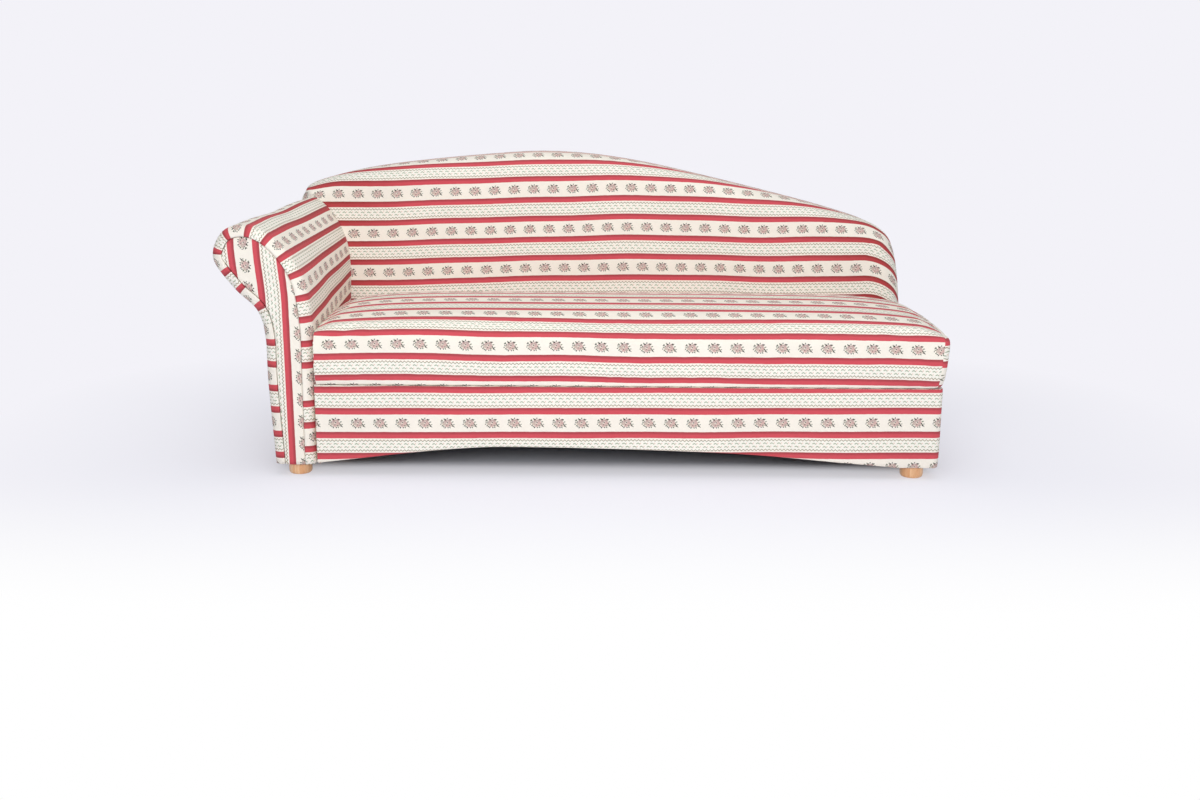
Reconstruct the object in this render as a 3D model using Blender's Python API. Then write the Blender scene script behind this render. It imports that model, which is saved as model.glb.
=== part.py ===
"""One-armed three-seater sofa with a rolled arm, a sloping crest and a loose seat cushion.

Units are metres. +X runs along the sofa from the arm to the open end, +Y runs to the back
and +Z is up. The origin is on the floor, under the centre of the sofa's box.
Every upholstered unit is a timber frame, a foam pad and a fabric cover, each its own solid.
"""

import math

import bmesh
import bpy
import numpy as np

# Driving dimensions of the whole sofa
FRONT = -0.405            # front face of the base and of the arm
REAR = 0.414              # rear face of the frame
BOTTOM = 0.036            # lower edge of the upholstery, and height of the feet
BASE_LEFT = -0.796        # open left end of the base, against the arm
BASE_RIGHT = 1.067        # upholstered right end of the base
BASE_TOP = 0.280          # seam between base and seat cushion

# Layers of the upholstery
GAP = 0.0004              # air between pieces that touch
COVER = 0.0025            # fabric with its backing
BASE_PAD = 0.008          # felt under the base cover
ARM_PAD = 0.030           # cover and foam round the arm
ARM_LIP = 0.032           # radius of the padded lip round the arm's front
BACK_EDGE = 0.065         # radius of the soft front edge of the back
BACK_PAD = 0.070          # cover and foam in front of the back frame
CREST_PAD = 0.045         # cover and foam over the top and ends of the back

# Timber and metal sections
RAIL = 0.022              # thickness of rails and posts
BOARD = 0.018             # thickness of the arm's shaped boards
RAIL_TOP = 0.260
RAIL_BOTTOM = 0.050
DUST_COVER_Z = 0.097
DUST_COVER = 0.002        # thickness of the lining under the base
SPRING_RAIL_Y = 0.099     # front of the rail that takes the springs' rear ends
SPRING_RAIL_LOW = 0.190
CROSS_RAILS_X = {"left": -0.17, "right": 0.45}
CORNER_BLOCK = (0.092, 0.100, 0.050)
DECK_FELT = 0.0118
SPRING_COUNT = 8
SPRING_WIRE = 0.004
SPRING_HALF_WIDTH = 0.022
SPRING_PITCH = 0.024      # advance of one half loop
BOLT_RADIUS = 0.004
BOLT_HOLE = 0.0046
BOLT_HEAD = 0.006
BOLT_HEAD_RADIUS = 0.008
BOLT_SIDES = 12
ARM_BOLTS_Y = (-0.25, 0.05)
ARM_BOLT_Z = 0.112
ARM_BOLT_REACH = 0.075
BACK_BOLTS_X = (-0.55, 0.62)
BACK_BOLT_REACH = 0.095
OVERRUN = 0.05            # how far a cutter runs out of the piece it opens

# Back: raked front plane, and the outline of its crest seen from the front
RAKE = 0.158              # advance in Y for each metre of height
RAKE_Y = 0.165            # Y of the front plane at the seat
RAKE_Z = 0.45
BACK_BOTTOM = RAIL_TOP
BACK_CROWN = 0.008        # how far the pad swells in front of its plane
BACK_CROWN_MIDDLE = (0.06, 0.0, 0.52)
BACK_RAIL_HEIGHT = 0.040
BACK_RAIL_X = (-0.875, 1.005)
BACK_RAIL_FRONT = 0.215
CREST_RAIL_X = (-0.86, 0.92)
CREST_RAIL_DROP = 0.054   # from the crest to the top of its rail
CREST_RAIL_HEIGHT = 0.070
BACK_POSTS_X = {"left": -0.83, "centre_left": -0.28, "centre_right": 0.32, "right": 0.88}
WEBBING_X = (-0.85, 0.92)
WEBBING_Z = (0.36, 0.46, 0.56)
WEBBING = (0.0022, 0.050)  # thickness and height of a strap
OUTSIDE_BACK = 0.006      # thickness of the panel behind the back
BACK_KNOTS = [
    (-0.932, BACK_BOTTOM), (-0.946, 0.55), (-0.963, 0.735), (-0.953, 0.796), (-0.903, 0.836),
    (-0.70, 0.883), (-0.36, 0.921), (-0.10, 0.9335), (0.18, 0.903), (0.59, 0.812), (0.86, 0.742),
    (0.99, 0.693), (1.043, 0.618), (1.066, 0.45), (1.062, BACK_BOTTOM),
]

# Arm: outline at the front, rolled well out, and at the back, nearly upright
ARM_KNOTS_FRONT = [
    (-0.925, BOTTOM), (-0.936, 0.28), (-0.937, 0.42), (-0.957, 0.499), (-1.019, 0.562),
    (-1.0765, 0.652), (-1.042, 0.731), (-0.962, 0.746), (-0.884, 0.700), (-0.818, 0.599),
    (-0.796, 0.455), (-0.797, 0.28), (-0.799, BOTTOM),
]
ARM_KNOTS_REAR = [
    (-0.916, BOTTOM), (-0.926, 0.28), (-0.929, 0.42), (-0.933, 0.530), (-0.940, 0.630),
    (-0.950, 0.716), (-0.943, 0.772), (-0.900, 0.780), (-0.840, 0.722), (-0.795, 0.620),
    (-0.788, 0.470), (-0.797, 0.28), (-0.799, BOTTOM),
]
ARM_REAR_Y = 0.165        # where the rear outline holds
ARM_BOARD_Y = 0.110       # front of the board that stands before the back
ARM_FACING_BACK = 0.012   # depth of the facing's rear behind the arm's front
ARM_SILL_X = (-0.885, -0.8295)
ARM_SILL_TOP = 0.126
ARM_RAILS_X = {"inner": -0.8515, "outer": -0.892}
ARM_RAILS_Z = (0.290, 0.335)
ARM_ROLL_RAIL = 0.028     # square section of the rail in the roll
ARM_ROLL_FRONT = (-1.000, 0.660)
ARM_ROLL_REAR = (-0.888, 0.690)

# Apron: the arch cut into the lower edge of the front
ARCH_KNOTS = [
    (-0.797, 0.040), (-0.400, 0.085), (-0.130, 0.093), (0.430, 0.078), (0.780, 0.050), (0.950, BOTTOM),
]

# Seat cushion: section through its middle, and its two ends
CUSHION_LEFT = -0.787
CUSHION_RIGHT = 1.0765
CUSHION_BOTTOM = 0.2806
CUSHION_EDGE = 0.436      # height of the front and end edges, above which the crown swells
CUSHION_FADE = 0.080      # how quickly the crown falls away towards an end
CUSHION_DRAW_IN = 0.004   # how far the front pulls in between its corners
CUSHION_KNOTS = [
    (-0.402, CUSHION_BOTTOM), (-0.4165, 0.308), (-0.4200, 0.362), (-0.409, 0.430), (-0.352, 0.466),
    (-0.275, 0.482), (-0.100, 0.4965), (0.050, 0.483), (0.110, 0.460), (0.138, 0.420),
    (0.131, 0.350), (0.123, 0.297), (0.110, CUSHION_BOTTOM),
]
CUSHION_FRONT_ZONE = -0.38
CUSHION_EDGES = ((0.0, 0.012), (0.005, 0.004), (0.016, 0.0))   # distance from an end, and inset there
CUSHION_STATIONS = (0.07, 0.16, 0.30)                          # distances of further sections from an end
ZIP_X = (-0.60, 0.90)
ZIP_Y = 0.1312            # rear wall of the cushion at the zip
ZIP_Z = 0.352
ZIP_WIDTH = 0.007
ZIP_TAPE = 0.0015
ZIP_SLIDER = (0.012, 0.0020, 0.008)   # length, thickness and height

# Feet
FOOT_RADIUS = 0.0345
FOOT_PROFILE = (
    (0.0295, 0.0), (0.033, 0.003), (FOOT_RADIUS, 0.010), (FOOT_RADIUS, 0.030), (0.033, BOTTOM - GAP),
)
FOOT_BOLT_Z = (0.014, 0.074)
FOOT_PLACES = {
    "front_left": (-0.857, -0.357), "front_right": (0.998, -0.357),
    "rear_left": (-0.857, 0.355), "rear_right": (0.998, 0.355),
}

# Colours and finishes: base colour, roughness, metallic
FINISHES = {
    "striped_fabric": ((0.80, 0.62, 0.50), 0.85, 0.0),
    "plain_fabric": ((0.72, 0.66, 0.56), 0.90, 0.0),
    "foam": ((0.86, 0.80, 0.58), 0.95, 0.0),
    "felt": ((0.42, 0.42, 0.44), 0.95, 0.0),
    "beech": ((0.80, 0.52, 0.30), 0.45, 0.0),
    "pine": ((0.78, 0.62, 0.40), 0.60, 0.0),
    "plywood": ((0.70, 0.54, 0.36), 0.60, 0.0),
    "webbing": ((0.20, 0.20, 0.22), 0.85, 0.0),
    "black_cambric": ((0.03, 0.03, 0.035), 0.90, 0.0),
    "spring_steel": ((0.35, 0.36, 0.38), 0.40, 1.0),
    "zinc_steel": ((0.62, 0.62, 0.64), 0.35, 1.0),
    "nylon": ((0.78, 0.72, 0.62), 0.50, 0.0),
}


def clear_scene():
    """Removes what an earlier run left."""
    for old in list(bpy.data.objects):
        bpy.data.objects.remove(old)
    for shapes in (bpy.data.meshes, bpy.data.curves):
        for old in list(shapes):
            shapes.remove(old)


def finish(name):
    """The material of that name, made once."""
    found = bpy.data.materials.get(name)
    if found:
        return found
    colour, roughness, metallic = FINISHES[name]
    made = bpy.data.materials.new(name)
    made.use_nodes = True
    shader = made.node_tree.nodes["Principled BSDF"]
    shader.inputs["Base Color"].default_value = (*colour, 1.0)
    shader.inputs["Roughness"].default_value = roughness
    shader.inputs["Metallic"].default_value = metallic
    return made


def group(name, place=(0, 0, 0)):
    """An empty that carries the pieces of one unit."""
    made = bpy.data.objects.new(name, None)
    made.location = place
    bpy.context.scene.collection.objects.link(made)
    return made


def place(shape, finish_name, parent):
    """A piece that bears its shape's name. The shape's points are already in the sofa's frame."""
    shape.materials.append(finish(finish_name))
    piece = bpy.data.objects.new(shape.name, shape)
    bpy.context.scene.collection.objects.link(piece)
    piece.parent = parent
    piece.location = [-v for v in parent.location]
    return piece


def guide(shape):
    """A cutter, which is no piece of the sofa."""
    cutter = bpy.data.objects.new(shape.name, shape)
    cutter.hide_render = True
    cutter.display_type = "WIRE"
    bpy.context.scene.collection.objects.link(cutter)
    return cutter


def carve(piece, *cutters):
    """Takes the cutters' space out of the piece."""
    for cutter in cutters:
        step = piece.modifiers.new(cutter.name, "BOOLEAN")
        step.operation = "DIFFERENCE"
        step.object = cutter
    return piece


def loft(name, rings):
    """A closed mesh through rings of points, which all have as many points, with both ends capped."""
    count = len(rings[0])
    points = np.array(rings, float).reshape(-1, 3)
    first = list(range(count))
    last = [len(points) - count + i for i in first]
    faces = [tuple(reversed(first)), tuple(last)]
    for k in range(len(rings) - 1):
        for i in range(count):
            a, b = k * count + i, k * count + (i + 1) % count
            faces += [(a, b, b + count), (a, b + count, a + count)]
    mesh = bpy.data.meshes.new(name)
    mesh.from_pydata(points.tolist(), [], faces)
    form = bmesh.new()
    form.from_mesh(mesh)
    if form.calc_volume(signed=True) < 0:
        bmesh.ops.reverse_faces(form, faces=form.faces)
    form.to_mesh(mesh)
    form.free()
    return mesh


def box(name, low, high):
    """A block between two corners."""
    (x0, y0, z0), (x1, y1, z1) = low, high
    plan = [(x0, y0), (x1, y0), (x1, y1), (x0, y1)]
    return loft(name, [[(x, y, z) for x, y in plan] for z in (z0, z1)])


def turned(name, profile, centre, axis="Z", sides=16):
    """A solid of revolution: profile lists radius and distance along the axis from the centre."""
    turns = [2 * math.pi * k / sides for k in range(sides)]
    rings = []
    for radius, along in profile:
        ring = [(radius * math.cos(a), radius * math.sin(a), along) for a in turns]
        if axis == "X":
            ring = [(h, c, s) for c, s, h in ring]
        rings.append([tuple(np.add(centre, p)) for p in ring])
    return loft(name, rings)


def smooth_path(knots, spans=3):
    """A Catmull-Rom curve through the knots, with so many points on each span."""
    k = np.array(knots, float)
    k = np.vstack([2 * k[0] - k[1], k, 2 * k[-1] - k[-2]])
    found = []
    for p0, p1, p2, p3 in zip(k, k[1:], k[2:], k[3:]):
        for t in np.arange(spans) / spans:
            found.append(0.5 * (2 * p1 + (p2 - p0) * t + (2 * p0 - 5 * p1 + 4 * p2 - p3) * t**2
                                + (3 * p1 - p0 - 3 * p2 + p3) * t**3))
    return np.array([*found, k[-2]])


def inset(path, distance):
    """The path moved to its right, inwards on an outline that runs clockwise, and less far in tight bends."""
    step = np.diff(path, axis=0)
    length = np.linalg.norm(step, axis=1)
    heading = np.unwrap(np.arctan2(step[:, 1], step[:, 0]))
    bend = -np.diff(heading) / (0.5 * (length[1:] + length[:-1]))
    room = np.pad(0.5 / np.maximum(bend, 0.5), 1, mode="edge")
    for _ in range(3):
        wide = np.pad(room, 1, mode="edge")
        room = np.minimum(room, 0.5 * np.minimum(wide[:-2], wide[2:]) + 0.5 * room)
    reach = np.minimum(distance, room + 0.15 * np.maximum(distance - room, 0))
    along = np.gradient(path, axis=0)
    along /= np.linalg.norm(along, axis=1)[:, None]
    return path + reach[:, None] * np.column_stack([along[:, 1], -along[:, 0]])


def back_plane(z):
    """Y of the back's raked front plane at height z."""
    return RAKE_Y + RAKE * (z - RAKE_Z)


# Arm

ARM_FRONT_PATH = smooth_path(ARM_KNOTS_FRONT)
ARM_REAR_PATH = smooth_path(ARM_KNOTS_REAR)


def arm_ring(y, distance, bottom=BOTTOM):
    """The arm's outline in the plane at y, moved in by distance and ending at height bottom."""
    start = FRONT + ARM_LIP
    share = min(1.0, max(0.0, (y - start) / (ARM_REAR_Y - start)))
    path = inset((1 - share) * ARM_FRONT_PATH + share * ARM_REAR_PATH, distance)
    path[0, 1] = path[-1, 1] = bottom
    path[:, 1] = np.maximum(path[:, 1], bottom)
    return [(x, y, z) for x, z in path]


def arm_rings(distance, rear=REAR, bottom=BOTTOM, lip=True):
    """Rings of the padded arm, with a quarter-round lip at the front."""
    reach = ARM_LIP - distance
    rings = []
    if lip:
        for turn in (90, 60, 30):
            a = math.radians(turn)
            y = FRONT + ARM_LIP - reach * math.sin(a)
            rings.append(arm_ring(y, ARM_LIP - reach * math.cos(a), bottom))
    stations = (FRONT + ARM_LIP, -0.20, -0.02, ARM_BOARD_Y, ARM_BOARD_Y + BOARD, ARM_REAR_Y, rear)
    rings += [arm_ring(y, distance, bottom) for y in stations]
    return rings


def arm_slice(distance, y0, y1, bottom=BOTTOM):
    """Rings of a slice of the arm between two planes."""
    return [arm_ring(y, distance, bottom) for y in (y0, y1)]


def build_arm(unit, back_room):
    """The arm unit: foam, cover and facing, round a sill, shaped boards and rails."""
    below, behind, before = BOTTOM - OVERRUN, REAR + OVERRUN, FRONT - OVERRUN
    hollow = guide(loft("cut_arm_cover", arm_rings(COVER, behind, below)))
    mouth = guide(loft("cut_arm_mouth", arm_slice(ARM_PAD - 0.001, before, FRONT + 0.01, below)))
    core = arm_slice(ARM_PAD, before, FRONT, below) + arm_rings(ARM_PAD, behind, below, lip=False)
    core = guide(loft("cut_arm_core", core))
    cover = place(loft("arm_cover", arm_rings(0.0)), "striped_fabric", unit)
    carve(cover, hollow, mouth, back_room)
    foam = place(loft("arm_foam", arm_rings(COVER + GAP)), "foam", unit)
    carve(foam, core, back_room)
    inner = ARM_PAD + 3 * GAP
    facing = arm_slice(inner, FRONT + COVER + 2 * GAP, FRONT + ARM_FACING_BACK)
    place(loft("arm_facing", facing), "striped_fabric", unit)

    front_y = FRONT + ARM_FACING_BACK + GAP
    left, right = ARM_SILL_X
    sill = box("arm_sill", (left, front_y, BOTTOM + GAP), (right, REAR, ARM_SILL_TOP))
    sill = place(sill, "pine", unit)
    stand = ARM_SILL_TOP + GAP
    for name, y in (("arm_front_board", front_y), ("arm_rear_board", ARM_BOARD_Y)):
        place(loft(name, arm_slice(inner, y, y + BOARD, stand)), "plywood", unit)
    heel = box("arm_heel_board", (left, REAR - BOARD, stand), (right, REAR, RAIL_TOP - GAP))
    place(heel, "plywood", unit)

    y0, y1 = front_y + BOARD + GAP, ARM_BOARD_Y - GAP
    half = ARM_ROLL_RAIL / 2
    square = [(-half, -half), (half, -half), (half, half), (-half, half)]
    ends = ((y0, ARM_ROLL_FRONT), (y1, ARM_ROLL_REAR))
    roll = [[(x + dx, y, z + dz) for dx, dz in square] for y, (x, z) in ends]
    place(loft("arm_roll_rail", roll), "pine", unit)
    low, high = ARM_RAILS_Z
    for name, x in ARM_RAILS_X.items():
        place(box(f"arm_{name}_rail", (x, y0, low), (x + RAIL, y1, high)), "pine", unit)
    return sill, cover, foam


# Back

BACK_PATH = smooth_path(BACK_KNOTS)
CREST_PATH = BACK_PATH[12:34]     # from the left corner to the right shoulder


def crest(x):
    """Height of the crest at x."""
    return float(np.interp(x, CREST_PATH[:, 0], CREST_PATH[:, 1]))


def back_ring(distance, forward, bottom=BACK_BOTTOM, rear=None):
    """The back's outline moved in by distance, lying forward behind the raked plane, or upright at rear."""
    path = inset(BACK_PATH, distance)
    path[0, 1] = path[-1, 1] = bottom
    return [(x, back_plane(z) + forward if rear is None else rear, z) for x, z in path]


def back_rings(distance, bottom=BACK_BOTTOM, rear=REAR):
    """Rings of the padded back from its upright rear face to its crowned front."""
    reach = BACK_EDGE - distance
    rings = [back_ring(distance, 0, bottom, rear)]
    for turn in (0, 30, 60, 90):
        a = math.radians(turn)
        rings.append(back_ring(BACK_EDGE - reach * math.cos(a), BACK_EDGE - reach * math.sin(a), bottom))
    rim = np.array(rings[-1])
    middle = np.array(BACK_CROWN_MIDDLE)
    for share, swell in ((0.62, 0.75), (0.25, 1.0)):
        ring = middle + share * (rim - middle)
        ring[[0, -1], 2] = bottom
        ring[:, 1] = back_plane(ring[:, 2]) + distance - swell * BACK_CROWN
        rings.append(ring.tolist())
    return rings


def leaning_bar(name, xs, near, far, low, high):
    """A bar between two planes behind the back's raked front plane, and between two heights."""
    section = [(back_plane(low) + near, low), (back_plane(low) + far, low),
               (back_plane(high) + far, high), (back_plane(high) + near, high)]
    return loft(name, [[(x, y, z) for y, z in section] for x in xs])


def build_back(unit):
    """The back unit: foam, cover and outside back, round a bottom rail, posts, crest rail and webbing."""
    below, behind = BACK_BOTTOM - OVERRUN, REAR + OVERRUN
    hollow = guide(loft("cut_back_cover", back_rings(COVER, below, behind)))
    room = [back_ring(CREST_PAD, BACK_PAD, below), back_ring(CREST_PAD, 0, below, behind)]
    room = guide(loft("cut_back_frame", room))
    carve(place(loft("back_cover", back_rings(0.0)), "striped_fabric", unit), hollow)
    foam = loft("back_foam", back_rings(COVER + GAP, BACK_BOTTOM + GAP))
    carve(place(foam, "foam", unit), room)

    rail_top = BACK_BOTTOM + BACK_RAIL_HEIGHT
    left, right = BACK_RAIL_X
    rail = box("back_bottom_rail", (left, BACK_RAIL_FRONT, BACK_BOTTOM + GAP), (right, REAR, rail_top))
    rail = place(rail, "pine", unit)

    crest_rail = []
    for x in np.linspace(*CREST_RAIL_X, 24):
        high = crest(x) - CREST_RAIL_DROP
        low = high - CREST_RAIL_HEIGHT
        crest_rail.append([(x, REAR - RAIL, high), (x, REAR, high), (x, REAR, low), (x, REAR - RAIL, low)])
    place(loft("back_crest_rail", crest_rail), "plywood", unit)

    strap, strap_height = WEBBING
    near = BACK_PAD + 3 * GAP
    post_front = near + strap + GAP
    foot = rail_top + GAP
    for name, x in BACK_POSTS_X.items():
        post = []
        for side in (x, x + RAIL):
            top = crest(side) - CREST_RAIL_DROP - CREST_RAIL_HEIGHT - 2 * GAP
            post.append([(side, back_plane(foot) + post_front, foot), (side, REAR, foot),
                         (side, REAR, top), (side, back_plane(top) + post_front, top)])
        place(loft(f"back_post_{name}", post), "pine", unit)
    for number, z in enumerate(WEBBING_Z, 1):
        bar = leaning_bar(f"back_webbing_{number}", WEBBING_X, near, near + strap, z, z + strap_height)
        place(bar, "webbing", unit)

    margin, soft, hem = 0.006, 0.0015, BOTTOM + 0.004
    layers = ((margin, GAP), (margin, OUTSIDE_BACK - soft), (margin + soft, OUTSIDE_BACK))
    panel = [back_ring(edge, 0, hem, REAR + depth) for edge, depth in layers]
    place(loft("outside_back", panel), "striped_fabric", unit)
    return rail


# Base

def base_plan(distance, left, rear, corner=0.018, steps=5):
    """The base seen from above, moved in by distance, with one round corner at the open front."""
    radius = corner - distance
    cx, cy = BASE_RIGHT - corner, FRONT + corner
    turns = [math.radians(-90 + 90 * k / steps) for k in range(steps + 1)]
    arc = [(cx + radius * math.cos(a), cy + radius * math.sin(a)) for a in turns]
    return [(left, FRONT + distance), *arc, (BASE_RIGHT - distance, rear), (left, rear)]


def base_block(name, distance, low, high, left=BASE_LEFT, rear=REAR):
    """The base's plan drawn up from height low to height high."""
    plan = base_plan(distance, left, rear)
    return loft(name, [[(x, y, z) for x, y in plan] for z in (low, high)])


def arch_block(name, lift, y1):
    """The space under the apron's arch, raised by lift and running back to y1."""
    path = smooth_path(ARCH_KNOTS, 4)
    low = BOTTOM - 0.03
    outline = [(path[0, 0] - 0.05, low), (path[0, 0] - 0.05, path[0, 1] + lift),
               *[(x, z + lift) for x, z in path], (path[-1, 0] + 0.01, low)]
    return loft(name, [[(x, y, z) for x, z in outline] for y in (FRONT - 0.03, y1)])


def build_base(unit, back_room):
    """The base unit: felt padding and cover, round rails, blocks and a dust cover."""
    pad_inner = COVER + GAP + BASE_PAD
    inner = pad_inner + GAP
    left, behind, above = BASE_LEFT - OVERRUN, REAR + OVERRUN, BASE_TOP + OVERRUN
    cover_hollow = guide(base_block("cut_base_cover", COVER, 0, above, left, behind))
    pad_hollow = guide(base_block("cut_base_pad", pad_inner, 0, above, left, behind))
    arch = guide(arch_block("cut_arch", 0.0, FRONT + 0.02))
    rail_arch = guide(arch_block("cut_rail_arch", 0.004, FRONT + 0.06))
    cover = place(base_block("base_cover", 0.0, BOTTOM, BASE_TOP), "striped_fabric", unit)
    carve(cover, cover_hollow, arch, back_room)
    pad = place(base_block("base_padding", COVER + GAP, BOTTOM + 0.002, RAIL_TOP), "felt", unit)
    carve(pad, pad_hollow, arch, back_room)

    front0, front1 = FRONT + inner, FRONT + inner + RAIL
    rear0 = REAR - RAIL
    left0, left1 = BASE_LEFT + GAP, BASE_LEFT + GAP + RAIL
    right0, right1 = BASE_RIGHT - inner - RAIL, BASE_RIGHT - inner
    low = BOTTOM + GAP
    round_corner = 0.008
    front_rail = box("front_rail", (left0, front0, low), (right1 - round_corner, front1, RAIL_TOP))
    carve(place(front_rail, "plywood", unit), rail_arch)
    rear_rail = box("rear_rail", (left0, rear0, RAIL_BOTTOM), (right1, REAR, RAIL_TOP))
    rear_rail = place(rear_rail, "pine", unit)
    y0, y1 = front1 + GAP, rear0 - GAP
    end_rail = box("left_end_rail", (left0, y0, RAIL_BOTTOM), (left1, y1, RAIL_TOP))
    end_rail = place(end_rail, "pine", unit)
    place(box("right_end_rail", (right0, y0, low), (right1, y1, RAIL_TOP)), "pine", unit)

    x0, x1 = left1 + GAP, right0 - GAP
    low_corner, high_corner = (x0, SPRING_RAIL_Y, SPRING_RAIL_LOW), (x1, SPRING_RAIL_Y + RAIL, RAIL_TOP)
    place(box("spring_rail", low_corner, high_corner), "pine", unit)
    cross_low, cross_high = DUST_COVER_Z + DUST_COVER + GAP, SPRING_RAIL_LOW - GAP
    for name, x in CROSS_RAILS_X.items():
        place(box(f"cross_rail_{name}", (x, y0, cross_low), (x + RAIL, y1, cross_high)), "pine", unit)
    lining = box("dust_cover", (x0, y0, DUST_COVER_Z), (x1, y1, DUST_COVER_Z + DUST_COVER))
    place(lining, "black_cambric", unit)

    blocks = {}
    width, depth, height = CORNER_BLOCK
    for name, y in (("front_right", y0), ("rear_right", y1 - depth)):
        block = box(f"corner_block_{name}", (x1 - width, y, low), (x1, y + depth, low + height))
        blocks[name] = place(block, "pine", unit)
    return end_rail, rear_rail, blocks, (x0, x1, front0)


def zigzag(name, x, start, halves, z):
    """A wire that runs to the rear in square half loops, seen from above."""
    wire = bpy.data.curves.new(name, "CURVE")
    wire.dimensions = "3D"
    wire.bevel_depth = SPRING_WIRE / 2
    wire.bevel_resolution = 0
    wire.use_fill_caps = True
    route = []
    for k in range(halves):
        side = x + SPRING_HALF_WIDTH * (1 if k % 2 else -1)
        route += [(side, start + SPRING_PITCH * k), (side, start + SPRING_PITCH * (k + 1))]
    line = wire.splines.new("POLY")
    line.points.add(len(route) - 1)
    for point, (px, py) in zip(line.points, route):
        point.co = (px, py, z, 1.0)
    return wire


def build_suspension(unit, room):
    """Zigzag springs from the front rail to the spring rail, with the felt and the deck cloth over them."""
    x0, x1, front_y = room
    spring_rail_rear = SPRING_RAIL_Y + RAIL
    start, end = front_y + 0.008, spring_rail_rear - 0.006
    halves = int((end - start) / SPRING_PITCH)
    spacing = (x1 - x0) / SPRING_COUNT
    for number in range(SPRING_COUNT):
        x = x0 + spacing * (number + 0.5)
        wire = zigzag(f"zigzag_spring_{number + 1}", x, start, halves, RAIL_TOP + GAP + SPRING_WIRE / 2)
        place(wire, "spring_steel", unit)

    left, rear = BASE_LEFT + GAP, spring_rail_rear + 0.001
    felt_low = RAIL_TOP + 2 * GAP + SPRING_WIRE
    top = felt_low + DECK_FELT
    place(base_block("deck_felt", COVER + 2 * GAP, felt_low, top, left, rear), "felt", unit)
    deck = base_block("deck_cover", COVER + GAP, top + GAP, top + GAP + COVER, left, rear)
    place(deck, "plain_fabric", unit)


# Seat cushion

CUSHION_PATH = smooth_path(CUSHION_KNOTS, 2)


def cushion_ring(x, distance):
    """The cushion's section at x, moved in by distance: the crown fades at the ends, the front fills out."""
    ends = min(x - CUSHION_LEFT, CUSHION_RIGHT - x)
    crown = 1 - 0.85 * math.exp(-max(ends, 0.0) / CUSHION_FADE)
    half = (CUSHION_RIGHT - CUSHION_LEFT) / 2
    middle = 1 - ((x - CUSHION_LEFT - half) / half) ** 2
    path = CUSHION_PATH.copy()
    y, z = path[:, 0], path[:, 1]
    high = z > CUSHION_EDGE
    z[high] = CUSHION_EDGE + (z[high] - CUSHION_EDGE) * crown
    front = y < CUSHION_FRONT_ZONE
    y[front] += CUSHION_DRAW_IN * middle * (z[front] - CUSHION_BOTTOM) / (CUSHION_EDGE - CUSHION_BOTTOM)
    path = inset(path, distance)
    path[0, 1] = path[-1, 1] = CUSHION_BOTTOM + distance
    return [(x, y, z) for y, z in path]


def cushion_rings(distance):
    """Rings along the cushion, with softened edges round its boxed ends."""
    left, right = CUSHION_LEFT + distance, CUSHION_RIGHT - distance
    rings = [cushion_ring(left + x, distance + d) for x, d in CUSHION_EDGES]
    rings += [cushion_ring(left + x, distance) for x in CUSHION_STATIONS]
    rings.append(cushion_ring((left + right) / 2, distance))
    rings += [cushion_ring(right - x, distance) for x in reversed(CUSHION_STATIONS)]
    rings += [cushion_ring(right - x, distance + d) for x, d in reversed(CUSHION_EDGES)]
    return rings


def zip_bar(name, xs, near, far, height):
    """A bar along the zip, between two depths behind the cushion's leaning rear wall."""
    tilt = RAKE * height / 2
    low, high = ZIP_Z - height / 2, ZIP_Z + height / 2
    section = [(ZIP_Y + near - tilt, low), (ZIP_Y + far - tilt, low),
               (ZIP_Y + far + tilt, high), (ZIP_Y + near + tilt, high)]
    return loft(name, [[(x, y, z) for y, z in section] for x in xs])


def build_cushion(unit):
    """The loose seat cushion: foam, zipped cover, zip and its slider."""
    start, end = ZIP_X
    hollow = guide(loft("cut_cushion_cover", cushion_rings(COVER)))
    slit = guide(zip_bar("cut_zip", (start - GAP, end + GAP), -0.02, 0.02, ZIP_WIDTH + 2 * GAP))
    carve(place(loft("cushion_cover", cushion_rings(0.0)), "striped_fabric", unit), hollow, slit)
    place(loft("cushion_foam", cushion_rings(COVER + GAP)), "foam", unit)
    place(zip_bar("cushion_zip", ZIP_X, -ZIP_TAPE, 0.0, ZIP_WIDTH), "nylon", unit)
    length, thickness, height = ZIP_SLIDER
    x = start + 0.004
    track = group("zip_slider_track", (x + length / 2, ZIP_Y, ZIP_Z))
    slider = zip_bar("zip_slider", (x, x + length), GAP, GAP + thickness, height)
    place(slider, "zinc_steel", track)


# Feet and fasteners

def build_feet(unit, sill, blocks):
    """Four turned feet, each on a hanger bolt that screws into the sill or into a corner block."""
    low, high = FOOT_BOLT_Z
    for name, (x, y) in FOOT_PLACES.items():
        centre = (x, y, 0)
        bore = [(BOLT_HOLE, low - GAP), (BOLT_HOLE, high + GAP)]
        hole = guide(turned(f"cut_foot_{name}", bore, centre, "Z", BOLT_SIDES))
        foot = place(turned(f"foot_{name}", FOOT_PROFILE, centre, "Z", 24), "beech", unit)
        carve(foot, hole)
        carve(blocks.get(name, sill), hole)
        bolt = turned(f"foot_bolt_{name}", [(BOLT_RADIUS, low), (BOLT_RADIUS, high)], centre, "Z", BOLT_SIDES)
        place(bolt, "zinc_steel", unit)


def build_bolt(name, unit, centre, axis, reach, pieces):
    """A bolt with its head at the centre, that runs back along the axis through holes in the pieces."""
    hole = turned(f"cut_{name}", [(BOLT_HOLE, -reach - GAP), (BOLT_HOLE, OVERRUN)], centre, axis, BOLT_SIDES)
    hole = guide(hole)
    for piece in pieces:
        carve(piece, hole)
    head = [(BOLT_HEAD_RADIUS, BOLT_HEAD), (BOLT_HEAD_RADIUS, 0.0)]
    shank = [(BOLT_RADIUS, 0.0), (BOLT_RADIUS, -reach)]
    place(turned(name, head + shank, centre, axis, BOLT_SIDES), "zinc_steel", unit)


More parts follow.
